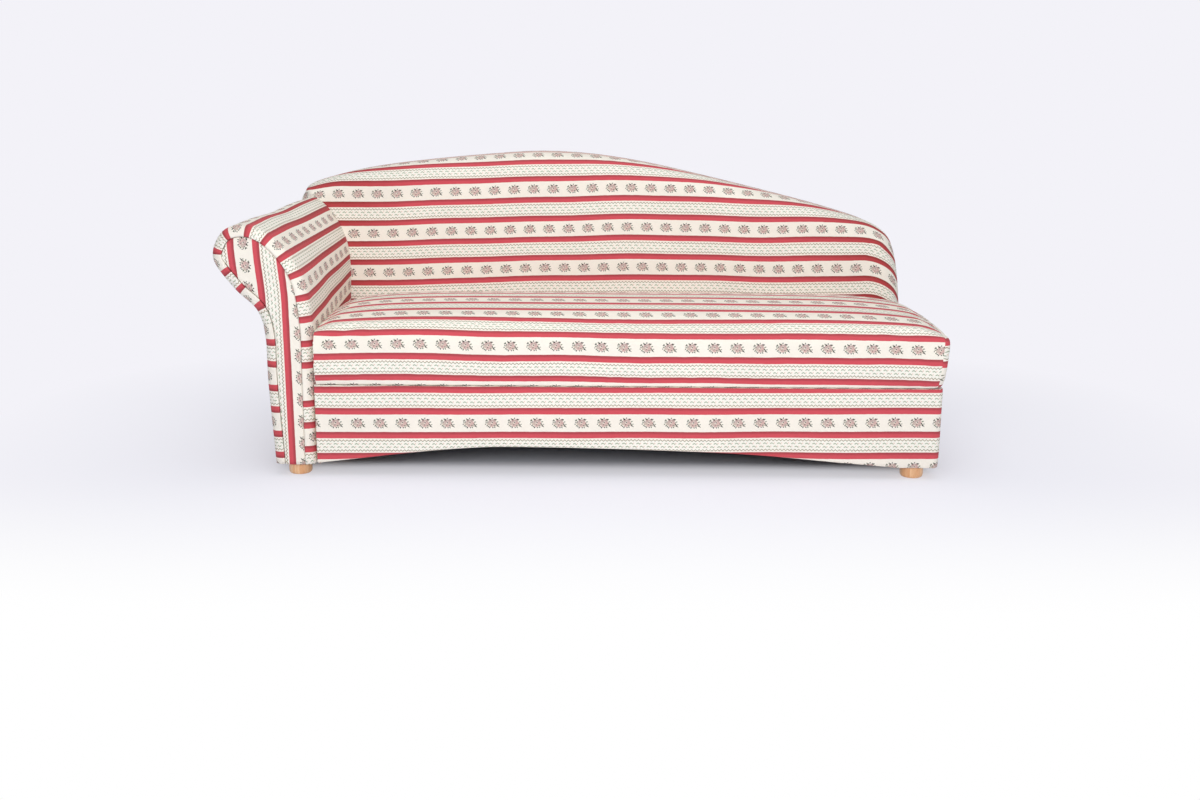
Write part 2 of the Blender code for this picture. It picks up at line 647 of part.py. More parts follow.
def build_bolts(unit, arm_pieces, end_rail, back_rail, rear_rail):
    """Bolts that hold the arm to the base, along X, and the back to the base, along Z."""
    head_x = BASE_LEFT + 2 * GAP + RAIL
    for number, y in enumerate(ARM_BOLTS_Y, 1):
        centre = (head_x, y, ARM_BOLT_Z)
        build_bolt(f"arm_bolt_{number}", unit, centre, "X", ARM_BOLT_REACH, [*arm_pieces, end_rail])
    head_z = BACK_BOTTOM + BACK_RAIL_HEIGHT + GAP
    for number, x in enumerate(BACK_BOLTS_X, 1):
        centre = (x, REAR - RAIL / 2, head_z)
        build_bolt(f"back_bolt_{number}", unit, centre, "Z", BACK_BOLT_REACH, [back_rail, rear_rail])


def shade():
    """Rounds the look of curved pieces and keeps their real edges sharp."""
    for piece in bpy.data.objects:
        if piece.type == "MESH":
            piece.data.shade_smooth()
            piece.data.set_sharp_from_angle(angle=math.radians(35))


def main():
    clear_scene()
    back_room = guide(loft("cut_back_room", back_rings(-2 * GAP, BACK_BOTTOM - GAP, REAR + OVERRUN)))
    end_rail, rear_rail, blocks, spring_room = build_base(group("base_unit"), back_room)
    build_suspension(group("suspension"), spring_room)
    arm_pieces = build_arm(group("arm_unit"), back_room)
    back_rail = build_back(group("back_unit"))
    build_cushion(group("seat_cushion_lift", (0.15, -0.14, CUSHION_BOTTOM)))
    build_feet(group("feet"), arm_pieces[0], blocks)
    build_bolts(group("bolts"), arm_pieces, end_rail, back_rail, rear_rail)
    shade()


main()
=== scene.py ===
"""One-armed three-seater sofa in a striped cloth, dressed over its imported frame.

Units are metres: +X runs from the arm to the open end, +Y to the back, +Z up, floor at 0.
"""

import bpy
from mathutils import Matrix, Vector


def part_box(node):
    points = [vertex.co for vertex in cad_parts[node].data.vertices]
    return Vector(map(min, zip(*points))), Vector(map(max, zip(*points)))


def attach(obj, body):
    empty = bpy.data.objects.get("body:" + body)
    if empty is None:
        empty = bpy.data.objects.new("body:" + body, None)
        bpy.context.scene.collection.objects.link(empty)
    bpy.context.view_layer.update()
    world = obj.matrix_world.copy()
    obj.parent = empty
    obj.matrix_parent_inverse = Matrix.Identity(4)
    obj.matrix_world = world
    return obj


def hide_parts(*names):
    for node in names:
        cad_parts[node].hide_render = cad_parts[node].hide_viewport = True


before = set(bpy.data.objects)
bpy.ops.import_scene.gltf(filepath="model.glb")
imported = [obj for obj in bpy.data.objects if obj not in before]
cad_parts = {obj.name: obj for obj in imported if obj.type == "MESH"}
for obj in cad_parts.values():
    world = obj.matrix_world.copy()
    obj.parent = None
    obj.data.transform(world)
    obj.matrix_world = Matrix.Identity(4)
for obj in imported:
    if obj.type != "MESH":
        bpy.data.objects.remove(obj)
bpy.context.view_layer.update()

import math

import bmesh
import bpy
import numpy as np

scene = bpy.context.scene


# Studio
# A seamless pale floor that fades into an equally pale backdrop, under broad soft lamps.
# It is no part of the sofa; the camera stands before it, a little above the crest.

def srgb(red, green, blue):
    """A colour from 8-bit display values to linear light: the display curve undone, channel by channel."""
    shares = np.array([red, green, blue]) / 255
    linear = np.where(shares <= 0.04045, shares / 12.92, ((shares + 0.055) / 1.055) ** 2.4)
    return (*linear.tolist(), 1.0)


def feed(tree, socket, source):
    """Links a socket to another node's output, or sets its value; None leaves it as it is."""
    if isinstance(source, bpy.types.NodeSocket):
        tree.links.new(source, socket)
    elif source is not None:
        socket.default_value = source


def step(tree, kind, *feeds, out=0, **settings):
    """A shader node with its settings, its inputs fed in order. Returns one of its outputs."""
    made = tree.nodes.new("ShaderNode" + kind)
    for key, value in settings.items():
        setattr(made, key, value)
    for socket, source in zip(made.inputs, feeds):
        feed(tree, socket, source)
    return made.outputs[out]


def eased(tree, value, low, high):
    """Carries a value from low to high onto 0 to 1 by a smooth step, level at both ends."""
    return step(tree, "MapRange", value, low, high, 0.0, 1.0, interpolation_type="SMOOTHSTEP")


def seen_rays(tree):
    """1 on rays from the eye, straight or by way of gloss or glass, and 0 on those that carry light."""
    rays = tree.nodes.new("ShaderNodeLightPath").outputs
    seen = step(tree, "Math", rays["Is Camera Ray"], rays["Is Glossy Ray"], operation="MAXIMUM")
    return step(tree, "Math", seen, rays["Is Transmission Ray"], operation="MAXIMUM")


def new_material(name):
    """An empty node material and its output's surface socket."""
    made = bpy.data.materials.new(name)
    made.use_nodes = True
    made.node_tree.nodes.clear()
    target = made.node_tree.nodes.new("ShaderNodeOutputMaterial")
    return made, made.node_tree, target.inputs["Surface"]


BACKDROP, FOREGROUND = srgb(243, 242, 248), srgb(255, 255, 255)
FLOOR, SKY, SKY_STRENGTH = srgb(244, 246, 255), srgb(238, 240, 247), 0.455
FOOTPRINT = (0.07, 0.10, 0.0), (0.95, 0.32, 1.0)   # middle and half size of the floor under the sofa
SHADOW_REACH, SHADOW_CURVE = 1.2, 0.30   # how far past it the floor fades into the backdrop, and the power
SHADOW_CORE = 0.10                       # how far past it the lit floor shows at its fullest
FOREGROUND_Y = (-0.3, -1.5)              # where the backdrop turns white towards the camera
FOREGROUND_REACH = (10.0, 4.5)           # how far out the white ends, and up to where it is full

floor_paint, tree, surface = new_material("studio_floor")
spot = step(tree, "TexCoord", out=3)
past = step(tree, "VectorMath", spot, FOOTPRINT[0], operation="SUBTRACT")
past = step(tree, "VectorMath", past, operation="ABSOLUTE")
past = step(tree, "VectorMath", past, FOOTPRINT[1], operation="SUBTRACT")
past = step(tree, "VectorMath", past, (0.0, 0.0, 0.0), operation="MAXIMUM")
away = step(tree, "VectorMath", past, operation="LENGTH", out=1)
fade = step(tree, "Math", away, SHADOW_REACH, operation="DIVIDE")
fade = step(tree, "Math", fade, SHADOW_CURVE, operation="POWER", use_clamp=True)
fade = step(tree, "Math", fade, eased(tree, away, 0.0, SHADOW_CORE), operation="MULTIPLY")
fade = step(tree, "Math", fade, seen_rays(tree), operation="MULTIPLY")
ahead = eased(tree, step(tree, "SeparateXYZ", spot, out=1), *FOREGROUND_Y)
reach = eased(tree, step(tree, "VectorMath", spot, operation="LENGTH", out=1), *FOREGROUND_REACH)
white = step(tree, "Math", ahead, reach, operation="MULTIPLY")
behind, before = step(tree, "Emission", BACKDROP, 1.0), step(tree, "Emission", FOREGROUND, 1.0)
glow = step(tree, "MixShader", white, behind, before)
matt = step(tree, "BsdfDiffuse", FLOOR, 0.0)
tree.links.new(step(tree, "MixShader", fade, matt, glow), surface)

turns = np.linspace(0, 2 * np.pi, 97)
radii = np.array([0.0, 1.0, 2.0, 3.5, 6.0, 12.0, 40.0])
disc = np.stack([radii[:, None] * np.cos(turns), radii[:, None] * np.sin(turns),
                 np.zeros((len(radii), len(turns)))], -1)


def sew(name, patches, inside):
    """A mesh of grid patches, each of points (rows, columns, 3) and cloth coordinates (rows, columns, 2).

    Quads join neighbours on a grid, patches are sewn where their points meet, and the
    faces are turned so that, taken together, they look away from the inside point.
    """
    points, quads, cloth = [], [], []
    first = 0
    for place, flat in patches:
        rows, columns = place.shape[:2]
        number = first + np.arange(rows * columns).reshape(rows, columns)
        corners = [number[:-1, :-1], number[1:, :-1], number[1:, 1:], number[:-1, 1:]]
        quads.append(np.stack(corners, -1).reshape(-1, 4))
        points.append(place.reshape(-1, 3))
        cloth.append(flat.reshape(-1, 2))
        first += rows * columns
    points, quads, cloth = (np.concatenate(part) for part in (points, quads, cloth))
    mesh = bpy.data.meshes.new(name)
    mesh.from_pydata(points, [], quads)
    mesh.uv_layers.new(name="cloth").data.foreach_set("uv", cloth[quads].ravel())
    form = bmesh.new()
    form.from_mesh(mesh)
    bmesh.ops.remove_doubles(form, verts=form.verts, dist=0.00005)
    bmesh.ops.recalc_face_normals(form, faces=form.faces)
    form.to_mesh(mesh)
    form.free()
    normal, centre = np.empty((2, len(mesh.polygons) * 3))
    mesh.polygons.foreach_get("normal", normal)
    mesh.polygons.foreach_get("center", centre)
    if np.sum(normal.reshape(-1, 3) * (centre.reshape(-1, 3) - inside)) < 0:
        mesh.flip_normals()
    mesh.shade_smooth()
    piece = bpy.data.objects.new(name, mesh)
    scene.collection.objects.link(piece)
    return piece


floor = sew("studio_floor", [(disc, disc[..., :2])], (0, 0, -1))
floor.data.materials.append(floor_paint)

world = bpy.data.worlds.new("studio")
world.use_nodes = True
tree = world.node_tree
tree.nodes.clear()
light, show = step(tree, "Background", SKY, SKY_STRENGTH), step(tree, "Background", BACKDROP, 1.0)
target = tree.nodes.new("ShaderNodeOutputWorld")
tree.links.new(step(tree, "MixShader", seen_rays(tree), light, show), target.inputs["Surface"])
scene.world = world

LAMPS = {   # place, what it looks at, width and height, watts
    "key": ((-0.5, -3.5, 2.4), (0.0, -0.2, 0.35), (2.2, 2.2), 8.0),
    "front": ((0.1, -3.65, 1.45), (0.1, -0.2, 0.30), (3.5, 0.9), 58.5),
    "top": ((0.2, -0.8, 3.4), (0.1, -0.2, 0.30), (3.0, 3.0), 41.0),
}
for name, (place, aim, (width, height), watts) in LAMPS.items():
    lamp = bpy.data.lights.new(f"studio_{name}", "AREA")
    lamp.shape = "RECTANGLE"
    lamp.size, lamp.size_y = width, height
    lamp.energy = watts
    holder = bpy.data.objects.new(lamp.name, lamp)
    holder.location = place
    gaze = np.subtract(aim, place)
    holder.rotation_euler = (math.acos(-gaze[2] / np.linalg.norm(gaze)), 0,
                             math.atan2(gaze[1], gaze[0]) - math.pi / 2)
    scene.collection.objects.link(holder)

lens = bpy.data.cameras.new("studio_camera")
lens.lens = 37.5
lens.sensor_width = 36.0
camera = bpy.data.objects.new("studio_camera", lens)
camera.location = (0.044, -4.005, 1.096)
camera.rotation_euler = (math.radians(90 - 13.36), math.radians(-0.4), 0)
scene.collection.objects.link(camera)
scene.camera = camera
scene.view_settings.view_transform = "Standard"


# Frame
# Planed pine rails and posts with shaped plywood boards in the arm, bolted together, with zigzag
# steel springs across the seat and webbing straps across the back. Upholstery hides it all.

def mixed(tree, share, first, second, kind="MIX"):
    """Two colours mixed by a share, or joined by another kind of mix."""
    made = tree.nodes.new("ShaderNodeMix")
    made.data_type, made.blend_type = "RGBA", kind
    for number, source in zip((0, 6, 7), (share, first, second)):
        feed(tree, made.inputs[number], source)
    return made.outputs[2]


def raised(tree, height, strength, distance):
    """The normal of a surface lifted by a height, as a share of the distance."""
    relief = tree.nodes.new("ShaderNodeBump")
    for name, source in (("Strength", strength), ("Distance", distance), ("Height", height)):
        feed(tree, relief.inputs[name], source)
    return relief.outputs[0]


def shaded(tree, surface, looks):
    """A Principled shader on the surface, each input named in looks linked or set."""
    shader = tree.nodes.new("ShaderNodeBsdfPrincipled")
    for name, source in looks.items():
        feed(tree, shader.inputs[name], source)
    tree.links.new(shader.outputs[0], surface)
    return shader


def timber(name, pale, dark, rings_per_metre, gloss, along):
    """Planed timber: growth rings as a noise across the grain, drawn out along it, with fine dark pores."""
    made, tree, surface = new_material(name)
    squeeze = [rings_per_metre] * 3
    squeeze[along] *= 0.06
    grain = step(tree, "Mapping", step(tree, "TexCoord", out=3), None, None, tuple(squeeze), vector_type="POINT")
    sway = step(tree, "TexNoise", grain, None, 0.9, 3.0)
    figure = step(tree, "TexNoise", grain, None, 3.2, 4.0, 0.6, None, 0.0, 1.4)
    pores = step(tree, "TexNoise", grain, None, 26.0, 2.0)
    share = eased(tree, step(tree, "Math", figure, sway, operation="MULTIPLY"), 0.12, 0.42)
    speck = step(tree, "MapRange", pores, 0.30, 0.46, 0.82, 1.0)
    tone = step(tree, "CombineColor", speck, speck, speck)
    return made, shaded(tree, surface, {
        "Base Color": mixed(tree, 1.0, mixed(tree, share, dark, pale), tone, "MULTIPLY"),
        "Roughness": step(tree, "MapRange", pores, 0.3, 0.7, gloss + 0.12, gloss),
        "Normal": raised(tree, pores, 0.25, 0.0004),
    })


def metal(name, colour, roughness):
    """Drawn or plated metal: even colour, with a fine uneven polish as a noise."""
    made, tree, surface = new_material(name)
    polish = step(tree, "TexNoise", step(tree, "TexCoord", out=3), None, 220.0, 3.0)
    uneven = step(tree, "MapRange", polish, 0.3, 0.7, roughness - 0.08, roughness + 0.10)
    shaded(tree, surface, {"Base Color": colour, "Metallic": 1.0, "Roughness": uneven})
    return made


def plain_weave(name, colour, pitch, dark=0.72):
    """Plain weave: sine waves crossing at the thread pitch, shading the colour and lifting the threads."""
    made, tree, surface = new_material(name)
    spot = step(tree, "TexCoord", out=3)
    angles = [step(tree, "Math", way, 2 * math.pi / pitch, operation="MULTIPLY")
              for way in step(tree, "SeparateXYZ", spot).node.outputs]
    waves = [step(tree, "Math", angle, operation="SINE") for angle in angles]
    threads = step(tree, "Math", step(tree, "Math", *waves[:2], operation="MULTIPLY"), waves[2], operation="ADD")
    slub = step(tree, "TexNoise", spot, None, 90.0, 3.0)
    shade = step(tree, "Math", threads, 0.05, slub, operation="MULTIPLY_ADD")
    shade = step(tree, "Math", shade, 0.40, 0.75, operation="MULTIPLY_ADD")
    shadow = (*(dark * part for part in colour[:3]), 1.0)
    shaded(tree, surface, {"Base Color": mixed(tree, shade, shadow, colour), "Roughness": 0.9,
                           "Specular IOR Level": 0.2, "Normal": raised(tree, threads, 0.3, 0.0003)})
    return made


SPRING_COUNT = 8
PINE_PALE, PINE_DARK = srgb(232, 200, 150), srgb(204, 158, 104)
pine = [timber(f"planed_pine_{way}", PINE_PALE, PINE_DARK, 45.0, 0.55, axis)[0]
        for axis, way in enumerate("xyz")]
plywood = timber("birch_plywood", srgb(226, 200, 160), srgb(200, 166, 122), 30.0, 0.60, 2)[0]
spring_steel = metal("spring_steel", srgb(112, 112, 116), 0.42)
zinc_steel = metal("zinc_plated_steel", srgb(196, 198, 200), 0.34)
webbing = plain_weave("jute_webbing", srgb(150, 122, 88), 0.004, 0.5)
FRAME_FINISHES = (
    (pine[0], ("front_rail", "rear_rail", "spring_rail", "back_bottom_rail", "back_crest_rail")),
    (pine[1], ("left_end_rail", "right_end_rail", "cross_rail_left", "cross_rail_right", "arm_inner_rail",
               "arm_outer_rail", "arm_roll_rail", "arm_sill")),
    (pine[2], ("back_post_left", "back_post_centre_left", "back_post_centre_right", "back_post_right",
               "corner_block_front_right", "corner_block_rear_right")),
    (plywood, ("arm_front_board", "arm_heel_board", "arm_rear_board")),
    (spring_steel, tuple(f"zigzag_spring_{number + 1}" for number in range(SPRING_COUNT))),
    (webbing, ("back_webbing_1", "back_webbing_2", "back_webbing_3")),
    (zinc_steel, ("arm_bolt_1", "arm_bolt_2", "back_bolt_1", "back_bolt_2", "foot_bolt_front_left",
                  "foot_bolt_front_right", "foot_bolt_rear_left", "foot_bolt_rear_right")),
)
for finish, names in FRAME_FINISHES:
    for name in names:
        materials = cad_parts[name].data.materials
        materials.clear()
        materials.append(finish)


# Base cover
# The upholstered box under the seat: striped cloth over felt, stretched round the front,
# the rounded corner and the open end, with an arched lower edge tacked up under the rail.

FRONT, REAR = -0.405, 0.414
BOTTOM, BASE_TOP = 0.036, 0.280
BASE_LEFT, BASE_RIGHT = -0.797, 1.067
BASE_CORNER = 0.018       # radius in plan at the open end
BASE_ROOM = 0.0015        # room between the cover and the arm
BASE_FOLD, BASE_RETURN = 0.004, 0.045     # radius and depth of the turned-in end beside the arm
END_STEP_Y, END_STEP_Z = (0.185, 0.199), 0.2594   # where the open end steps down to pass under the back
BASE_POSY = 0.0282        # where along the front the posies fall
BASE_SLANT = 0.013        # how far the bands climb from the arm to the open end
ARCH_KNOTS = [(-0.797, 0.040), (-0.400, 0.085), (-0.130, 0.093),
              (0.430, 0.078), (0.780, 0.050), (0.950, 0.036)]
REPEAT = 0.138            # one red, the posies, one red and the trellis, across the cloth
RED_BAND, RED_MIDDLES = 0.020, (0.010, 0.083)
POSY_MIDDLE, TRELLIS_MIDDLE = 0.0465, 0.1155
POSY_PERIOD, LEAF_PERIOD = 0.0665, 0.021   # along the cloth
THREAD_PITCH = 0.0012
BASE_RED = 0.1285         # height of a red band with posies above it
SOLE = 0.0022             # thickness of the cloth with its backing


def through(knots, at):
    """Catmull-Rom curve through the knots, read at fractional knot numbers.

    Between two knots it is the cubic whose slope at each is half the step between its neighbours.
    """
    k = np.asarray(knots, float)
    k = np.vstack([2 * k[0] - k[1], k, 2 * k[-1] - k[-2]])
    at = np.asarray(at, float)
    i = np.clip(np.floor(at).astype(int), 0, len(k) - 4)
    t = (at - i)[..., None]
    p0, p1, p2, p3 = k[i], k[i + 1], k[i + 2], k[i + 3]
    return 0.5 * (2 * p1 + (p2 - p0) * t + (2 * p0 - 5 * p1 + 4 * p2 - p3) * t**2
                  + (3 * p1 - p0 - 3 * p2 + p3) * t**3)


def run_of(path):
    """Length along a path of points, from 0 at its start."""
    return np.insert(np.cumsum(np.linalg.norm(np.diff(path, axis=0), axis=1)), 0, 0.0)


def unevenness(along, across, size, seed):
    """Smooth uneven field of about -1 to 1: 1.8 times the mean of six sine waves of mixed heading and length."""
    draw = np.random.default_rng(seed)
    heading = draw.uniform(0, 2 * np.pi, 6)
    length = size * draw.uniform(0.7, 1.7, 6)
    phase = draw.uniform(0, 2 * np.pi, 6)
    travel = np.multiply.outer(along, np.cos(heading)) + np.multiply.outer(across, np.sin(heading))
    return np.sin(2 * np.pi * travel / length + phase).mean(-1) * 1.8


def laid(along, across, seed):
    """Cloth coordinates of a grid, the stripes wandering 1.5 mm as those of hand-stretched cloth do."""
    along, across = np.broadcast_arrays(along, across)
    return np.stack([along, across + 0.0015 * unevenness(along, across, 0.30, seed)], -1)


def striped_cloth(name):
    """Woven upholstery cloth: red bands, posies on cream and a green trellis across its repeat.

    Reads the piece's cloth coordinates in metres: x along the stripes, y across them. Every
    mark is an ellipse or a zigzag line, a distance turned into a mask by a short ramp.
    """
    made, tree, surface = new_material(name)

    def calc(operation, *feeds):
        return step(tree, "Math", *feeds, operation=operation)

    def ramp(value, low, high):
        return eased(tree, value, low, high)

    def mix(share, first, second, kind="MIX"):
        return mixed(tree, share, first, second, kind)

    cloth = step(tree, "UVMap", uv_map="cloth")
    wander = step(tree, "TexNoise", cloth, None, 60.0, 2.0, out=1)
    wander = step(tree, "VectorMath", wander, (0.5, 0.5, 0.5), operation="SUBTRACT")
    wander = step(tree, "VectorMath", wander, (0.0014, 0.0014, 0.0), operation="MULTIPLY")
    pattern_place = step(tree, "VectorMath", cloth, wander, operation="ADD")
    along, across, _ = step(tree, "SeparateXYZ", pattern_place).node.outputs
    band = calc("WRAP", across, REPEAT, 0.0)

    ground = srgb(246, 239, 225)
    tint = srgb(246, 242, 230)
    from_middle = calc("ABSOLUTE", calc("SUBTRACT", band, TRELLIS_MIDDLE))
    colour = mix(ramp(from_middle, 0.0225, 0.016), ground, tint)

    def ellipse(place, x, y, length, width, turn):
        """An ellipse in millimetres and degrees: 1 in it and 0 outside, and the distance in half widths."""
        own = step(tree, "Mapping", place, (x / 1000, y / 1000, 0), (0, 0, math.radians(turn)),
                   (length / 1000, width / 1000, 1.0), vector_type="TEXTURE")
        away = step(tree, "VectorMath", own, operation="LENGTH", out=1)
        return ramp(away, 1.12, 0.88), away

    def local(period, shift, middle):
        """Place on the cloth within one motif, from the motif's middle."""
        number = calc("FRACT", calc("DIVIDE", calc("ADD", along, shift), period))
        x = calc("MULTIPLY", calc("SUBTRACT", number, 0.5), period)
        return step(tree, "CombineXYZ", x, calc("SUBTRACT", band, middle))

    # posy: small leaves first, then the blossoms over them, then dark buds round the rim
    posy = local(POSY_PERIOD, 0.0, POSY_MIDDLE)
    green, dark = srgb(108, 114, 94), srgb(56, 52, 52)
    leaves = ((-14.5, 9, 3.4, 1.6, 128, green), (-16, 1.5, 3.0, 1.4, 172, green),
              (-13.5, -7, 3.4, 1.7, 38, green), (-8, 13, 2.8, 1.5, 110, green),
              (1, 14.5, 2.6, 1.4, 80, dark), (12.5, 10.5, 3.2, 1.5, 48, green),
              (16.5, 4, 3.2, 1.5, 20, green), (15.5, -4.5, 3.2, 1.4, -32, green),
              (20.5, -3.5, 2.4, 1.2, 12, green), (8.5, -12.5, 3.0, 1.5, -55, green),
              (-6, -13, 3.0, 1.5, 70, dark), (21, -11, 2.0, 1.1, -50, green))
    for *leaf, leaf_tone in leaves:
        colour = mix(ellipse(posy, *leaf)[0], colour, leaf_tone)
    deep, wine, tan, pale = srgb(188, 142, 136), srgb(148, 112, 108), srgb(172, 158, 140), srgb(230, 208, 196)
    blossoms = ((-8, -1.5, 6.0, 5.2, 0, tan), (8.5, 0.5, 5.8, 5.0, -15, deep), (0.5, -6.5, 6.6, 5.4, 10, deep),
                (-3.5, 6.5, 5.6, 4.8, 15, wine), (6.5, 8, 5.0, 4.2, -20, wine), (10.5, -7, 3.6, 3.2, 0, tan))
    for *blossom, core in blossoms:
        mask, away = ellipse(posy, *blossom)
        petals = calc("SINE", calc("MULTIPLY", away, 11.0))
        colour = mix(mask, colour, mix(ramp(petals, -0.6, 0.7), core, pale))
    buds = ((-4.5, 11, 2.6, 2.2, 0), (9.5, 11.5, 2.4, 2.0, 0), (17.5, -8.5, 2.8, 2.0, -30),
            (-17, 7, 2.0, 1.7, 0), (-18.5, -3, 1.9, 1.6, 0), (13.5, -2, 2.0, 1.7, 0),
            (-10, -10.5, 2.1, 1.7, 0), (3, -13.5, 1.9, 1.6, 0), (1.5, 2, 2.0, 1.6, 30),
            (-11.5, 4, 2.0, 1.6, 0), (-1, -5, 1.7, 1.4, 0), (7, -7, 1.7, 1.4, 0))
    for bud in buds:
        colour = mix(ellipse(posy, *bud)[0], colour, dark)

    # trellis: two zigzag lines near each edge, and two staggered rows of small leaves between them
    pink, green, faint = srgb(228, 190, 174), srgb(132, 146, 114), srgb(158, 172, 142)
    swing = calc("MULTIPLY", calc("SUBTRACT", calc("PINGPONG", along, 0.0055), 0.00275), 0.85)
    for tone, middle in ((pink, 0.0162), (green, 0.0150)):
        line = calc("SUBTRACT", calc("SUBTRACT", from_middle, middle), swing)
        colour = mix(ramp(calc("ABSOLUTE", line), 0.0014, 0.0006), colour, tone)
    for row, shift in ((0.0050, 0.0), (-0.0050, LEAF_PERIOD / 2)):
        spray = local(LEAF_PERIOD, shift, TRELLIS_MIDDLE + row)
        for *mark, tone in ((-2.2, 0.6, 4.2, 1.5, 28, faint), (3.4, -0.6, 3.4, 1.3, -32, faint),
                            (7.5, 1.2, 1.7, 1.5, 0, pink)):
            colour = mix(ellipse(spray, *mark)[0], colour, tone)

    # red bands, woven deeper towards their upper edge, and darkened by painted shade: a darker copy of each red,
    # mixed in by the shade share stored on the piece
    painted_shade = step(tree, "Attribute", attribute_name="painted_shade", out=2)
    for middle in RED_MIDDLES:
        up = calc("SUBTRACT", band, middle)
        upper = ramp(up, -0.0010, 0.0070)
        # the lit reds, then their darker copies for painted shade
        tone = mix(painted_shade, mix(upper, srgb(210, 82, 91), srgb(174, 70, 76)),
                   mix(upper, srgb(179, 65, 65), srgb(148, 55, 53)))
        on_band = ramp(calc("ABSOLUTE", up), RED_BAND / 2 + 0.0004, RED_BAND / 2 - 0.0004)
        colour = mix(on_band, colour, tone)

    # threads: slubs drawn out along the stripes, paler and darker, and a broad unevenness of wear
    long_threads = step(tree, "Mapping", cloth, None, None, (90.0, 1500.0, 1.0), vector_type="POINT")
    slub = step(tree, "TexNoise", long_threads, None, 1.0, 2.0)
    short_threads = step(tree, "Mapping", cloth, None, None, (1500.0, 90.0, 1.0), vector_type="POINT")
    weft = step(tree, "TexNoise", short_threads, None, 1.0, 2.0)
    threads = calc("MULTIPLY_ADD", calc("ADD", slub, weft), 0.16, 0.84)
    wear = step(tree, "TexNoise", cloth, None, 5.0, 3.0)
    shade = calc("MULTIPLY", threads, calc("MULTIPLY_ADD", wear, 0.10, 0.95))
    tone = step(tree, "CombineColor", shade, shade, shade)
    colour = mix(1.0, colour, tone, "MULTIPLY")

    # weave: raised threads both ways, about one a millimetre
    weave = [calc("SINE", calc("MULTIPLY", way, 2 * math.pi / THREAD_PITCH)) for way in (along, across)]
    height = calc("ADD", calc("MULTIPLY", *weave), calc("MULTIPLY", calc("ADD", slub, weft), 1.5))
    shaded(tree, surface, {
        "Base Color": colour,
        "Normal": raised(tree, height, 0.35, 0.0004),
        "Roughness": calc("MULTIPLY_ADD", wear, 0.10, 0.80),
        "Specular IOR Level": 0.25,
        "Sheen Weight": 0.06,
        "Sheen Roughness": 0.5,
        "Sheen Tint": srgb(250, 240, 232),
    })
    return made


striped = striped_cloth("striped_cloth")

front_left = BASE_LEFT + BASE_ROOM + BASE_FOLD
front_run = BASE_RIGHT - BASE_CORNER - front_left
corner_run, fold_run = BASE_CORNER * np.pi / 2, BASE_FOLD * np.pi / 2
end_run = REAR - FRONT - BASE_CORNER
along = np.concatenate([np.linspace(-fold_run - BASE_RETURN, -fold_run, 7)[:-1],
                        np.linspace(-fold_run, 0, 6)[:-1],
                        np.linspace(0, front_run, 190)[:-1],
                        front_run + np.linspace(0, corner_run, 9)[:-1],
                        front_run + corner_run + np.linspace(0, end_run, 84)])
turn = np.clip((along - front_run) / BASE_CORNER, 0, np.pi / 2)
fold = np.clip(-along / BASE_FOLD, 0, np.pi / 2)
plan_x = front_left + np.clip(along, 0, front_run) + BASE_CORNER * np.sin(turn) - BASE_FOLD * np.sin(fold)
plan_y = FRONT + BASE_CORNER * (1 - np.cos(turn)) + np.maximum(along - front_run - corner_run, 0)
plan_y = plan_y + BASE_FOLD * (1 - np.cos(fold)) + np.maximum(-along - fold_run, 0)
arch = through(ARCH_KNOTS, np.linspace(0, len(ARCH_KNOTS) - 1, 300))
hem = np.where(along < front_run, np.interp(plan_x, arch[:, 0], arch[:, 1]), BOTTOM)
crown = np.where(along > front_run, np.interp(plan_y, END_STEP_Y, [BASE_TOP, END_STEP_Z]), BASE_TOP)
# rows from the tacked hem to the top edge: five round the hem, then the face, then two over the top
tuck = np.array([0.0100, 0.0060, 0.0028, 0.0010, 0.0002])     # how far in the hem's rows lie
lift = np.array([0.0010, 0.0004, 0.0009, 0.0026, 0.0055])     # and how far above the hem
rise = np.linspace(0, 1, 26)
inset = np.concatenate([tuck, np.zeros(26), [0.0003, 0.0007]])
low, high = hem + 0.009, crown - 0.006
height = np.concatenate([hem + lift[:, None], low + rise[:, None] * (high - low),
                         np.stack([crown - 0.0025, crown - 0.0004])])
fullness = np.concatenate([np.zeros(5), np.sin(np.pi * rise) ** 0.7, np.zeros(2)])[:, None]
outward = fullness * (0.0022 + 0.0012 * unevenness(along + 0 * height, height, 0.35, 3))
outward = outward * np.clip(1 + along / fold_run, 0, 1) - inset[:, None]
place = np.stack([plan_x + outward * (np.sin(turn) - np.sin(fold)),
                  plan_y - outward * np.cos(turn + fold), height], -1)
turned_under = np.concatenate([tuck, np.zeros(28)])[:, None]
slant = BASE_SLANT * np.clip(along / front_run, 0, 1)
flat = laid(along + front_left - BASE_POSY, height - turned_under - slant - BASE_RED + RED_MIDDLES[0], 41)
base = sew("base_upholstery", [(place, flat)], (0.13, 0.1, 0.15))
base.data.materials.append(striped)


def wall(piece, thickness):
    """Gives a cover its thickness, inwards from its face."""
    solid = piece.modifiers.new("thickness", "SOLIDIFY")
    solid.thickness = thickness
    solid.offset = -1.0
    solid.use_even_offset = False


wall(base, SOLE)
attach(base, "sofa")
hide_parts("base_cover", "base_padding")


# Deck
# The platform under the cushion: calico with a border of the striped cloth along its front,
# drawn over felt and the springs and tacked to the rails all round.

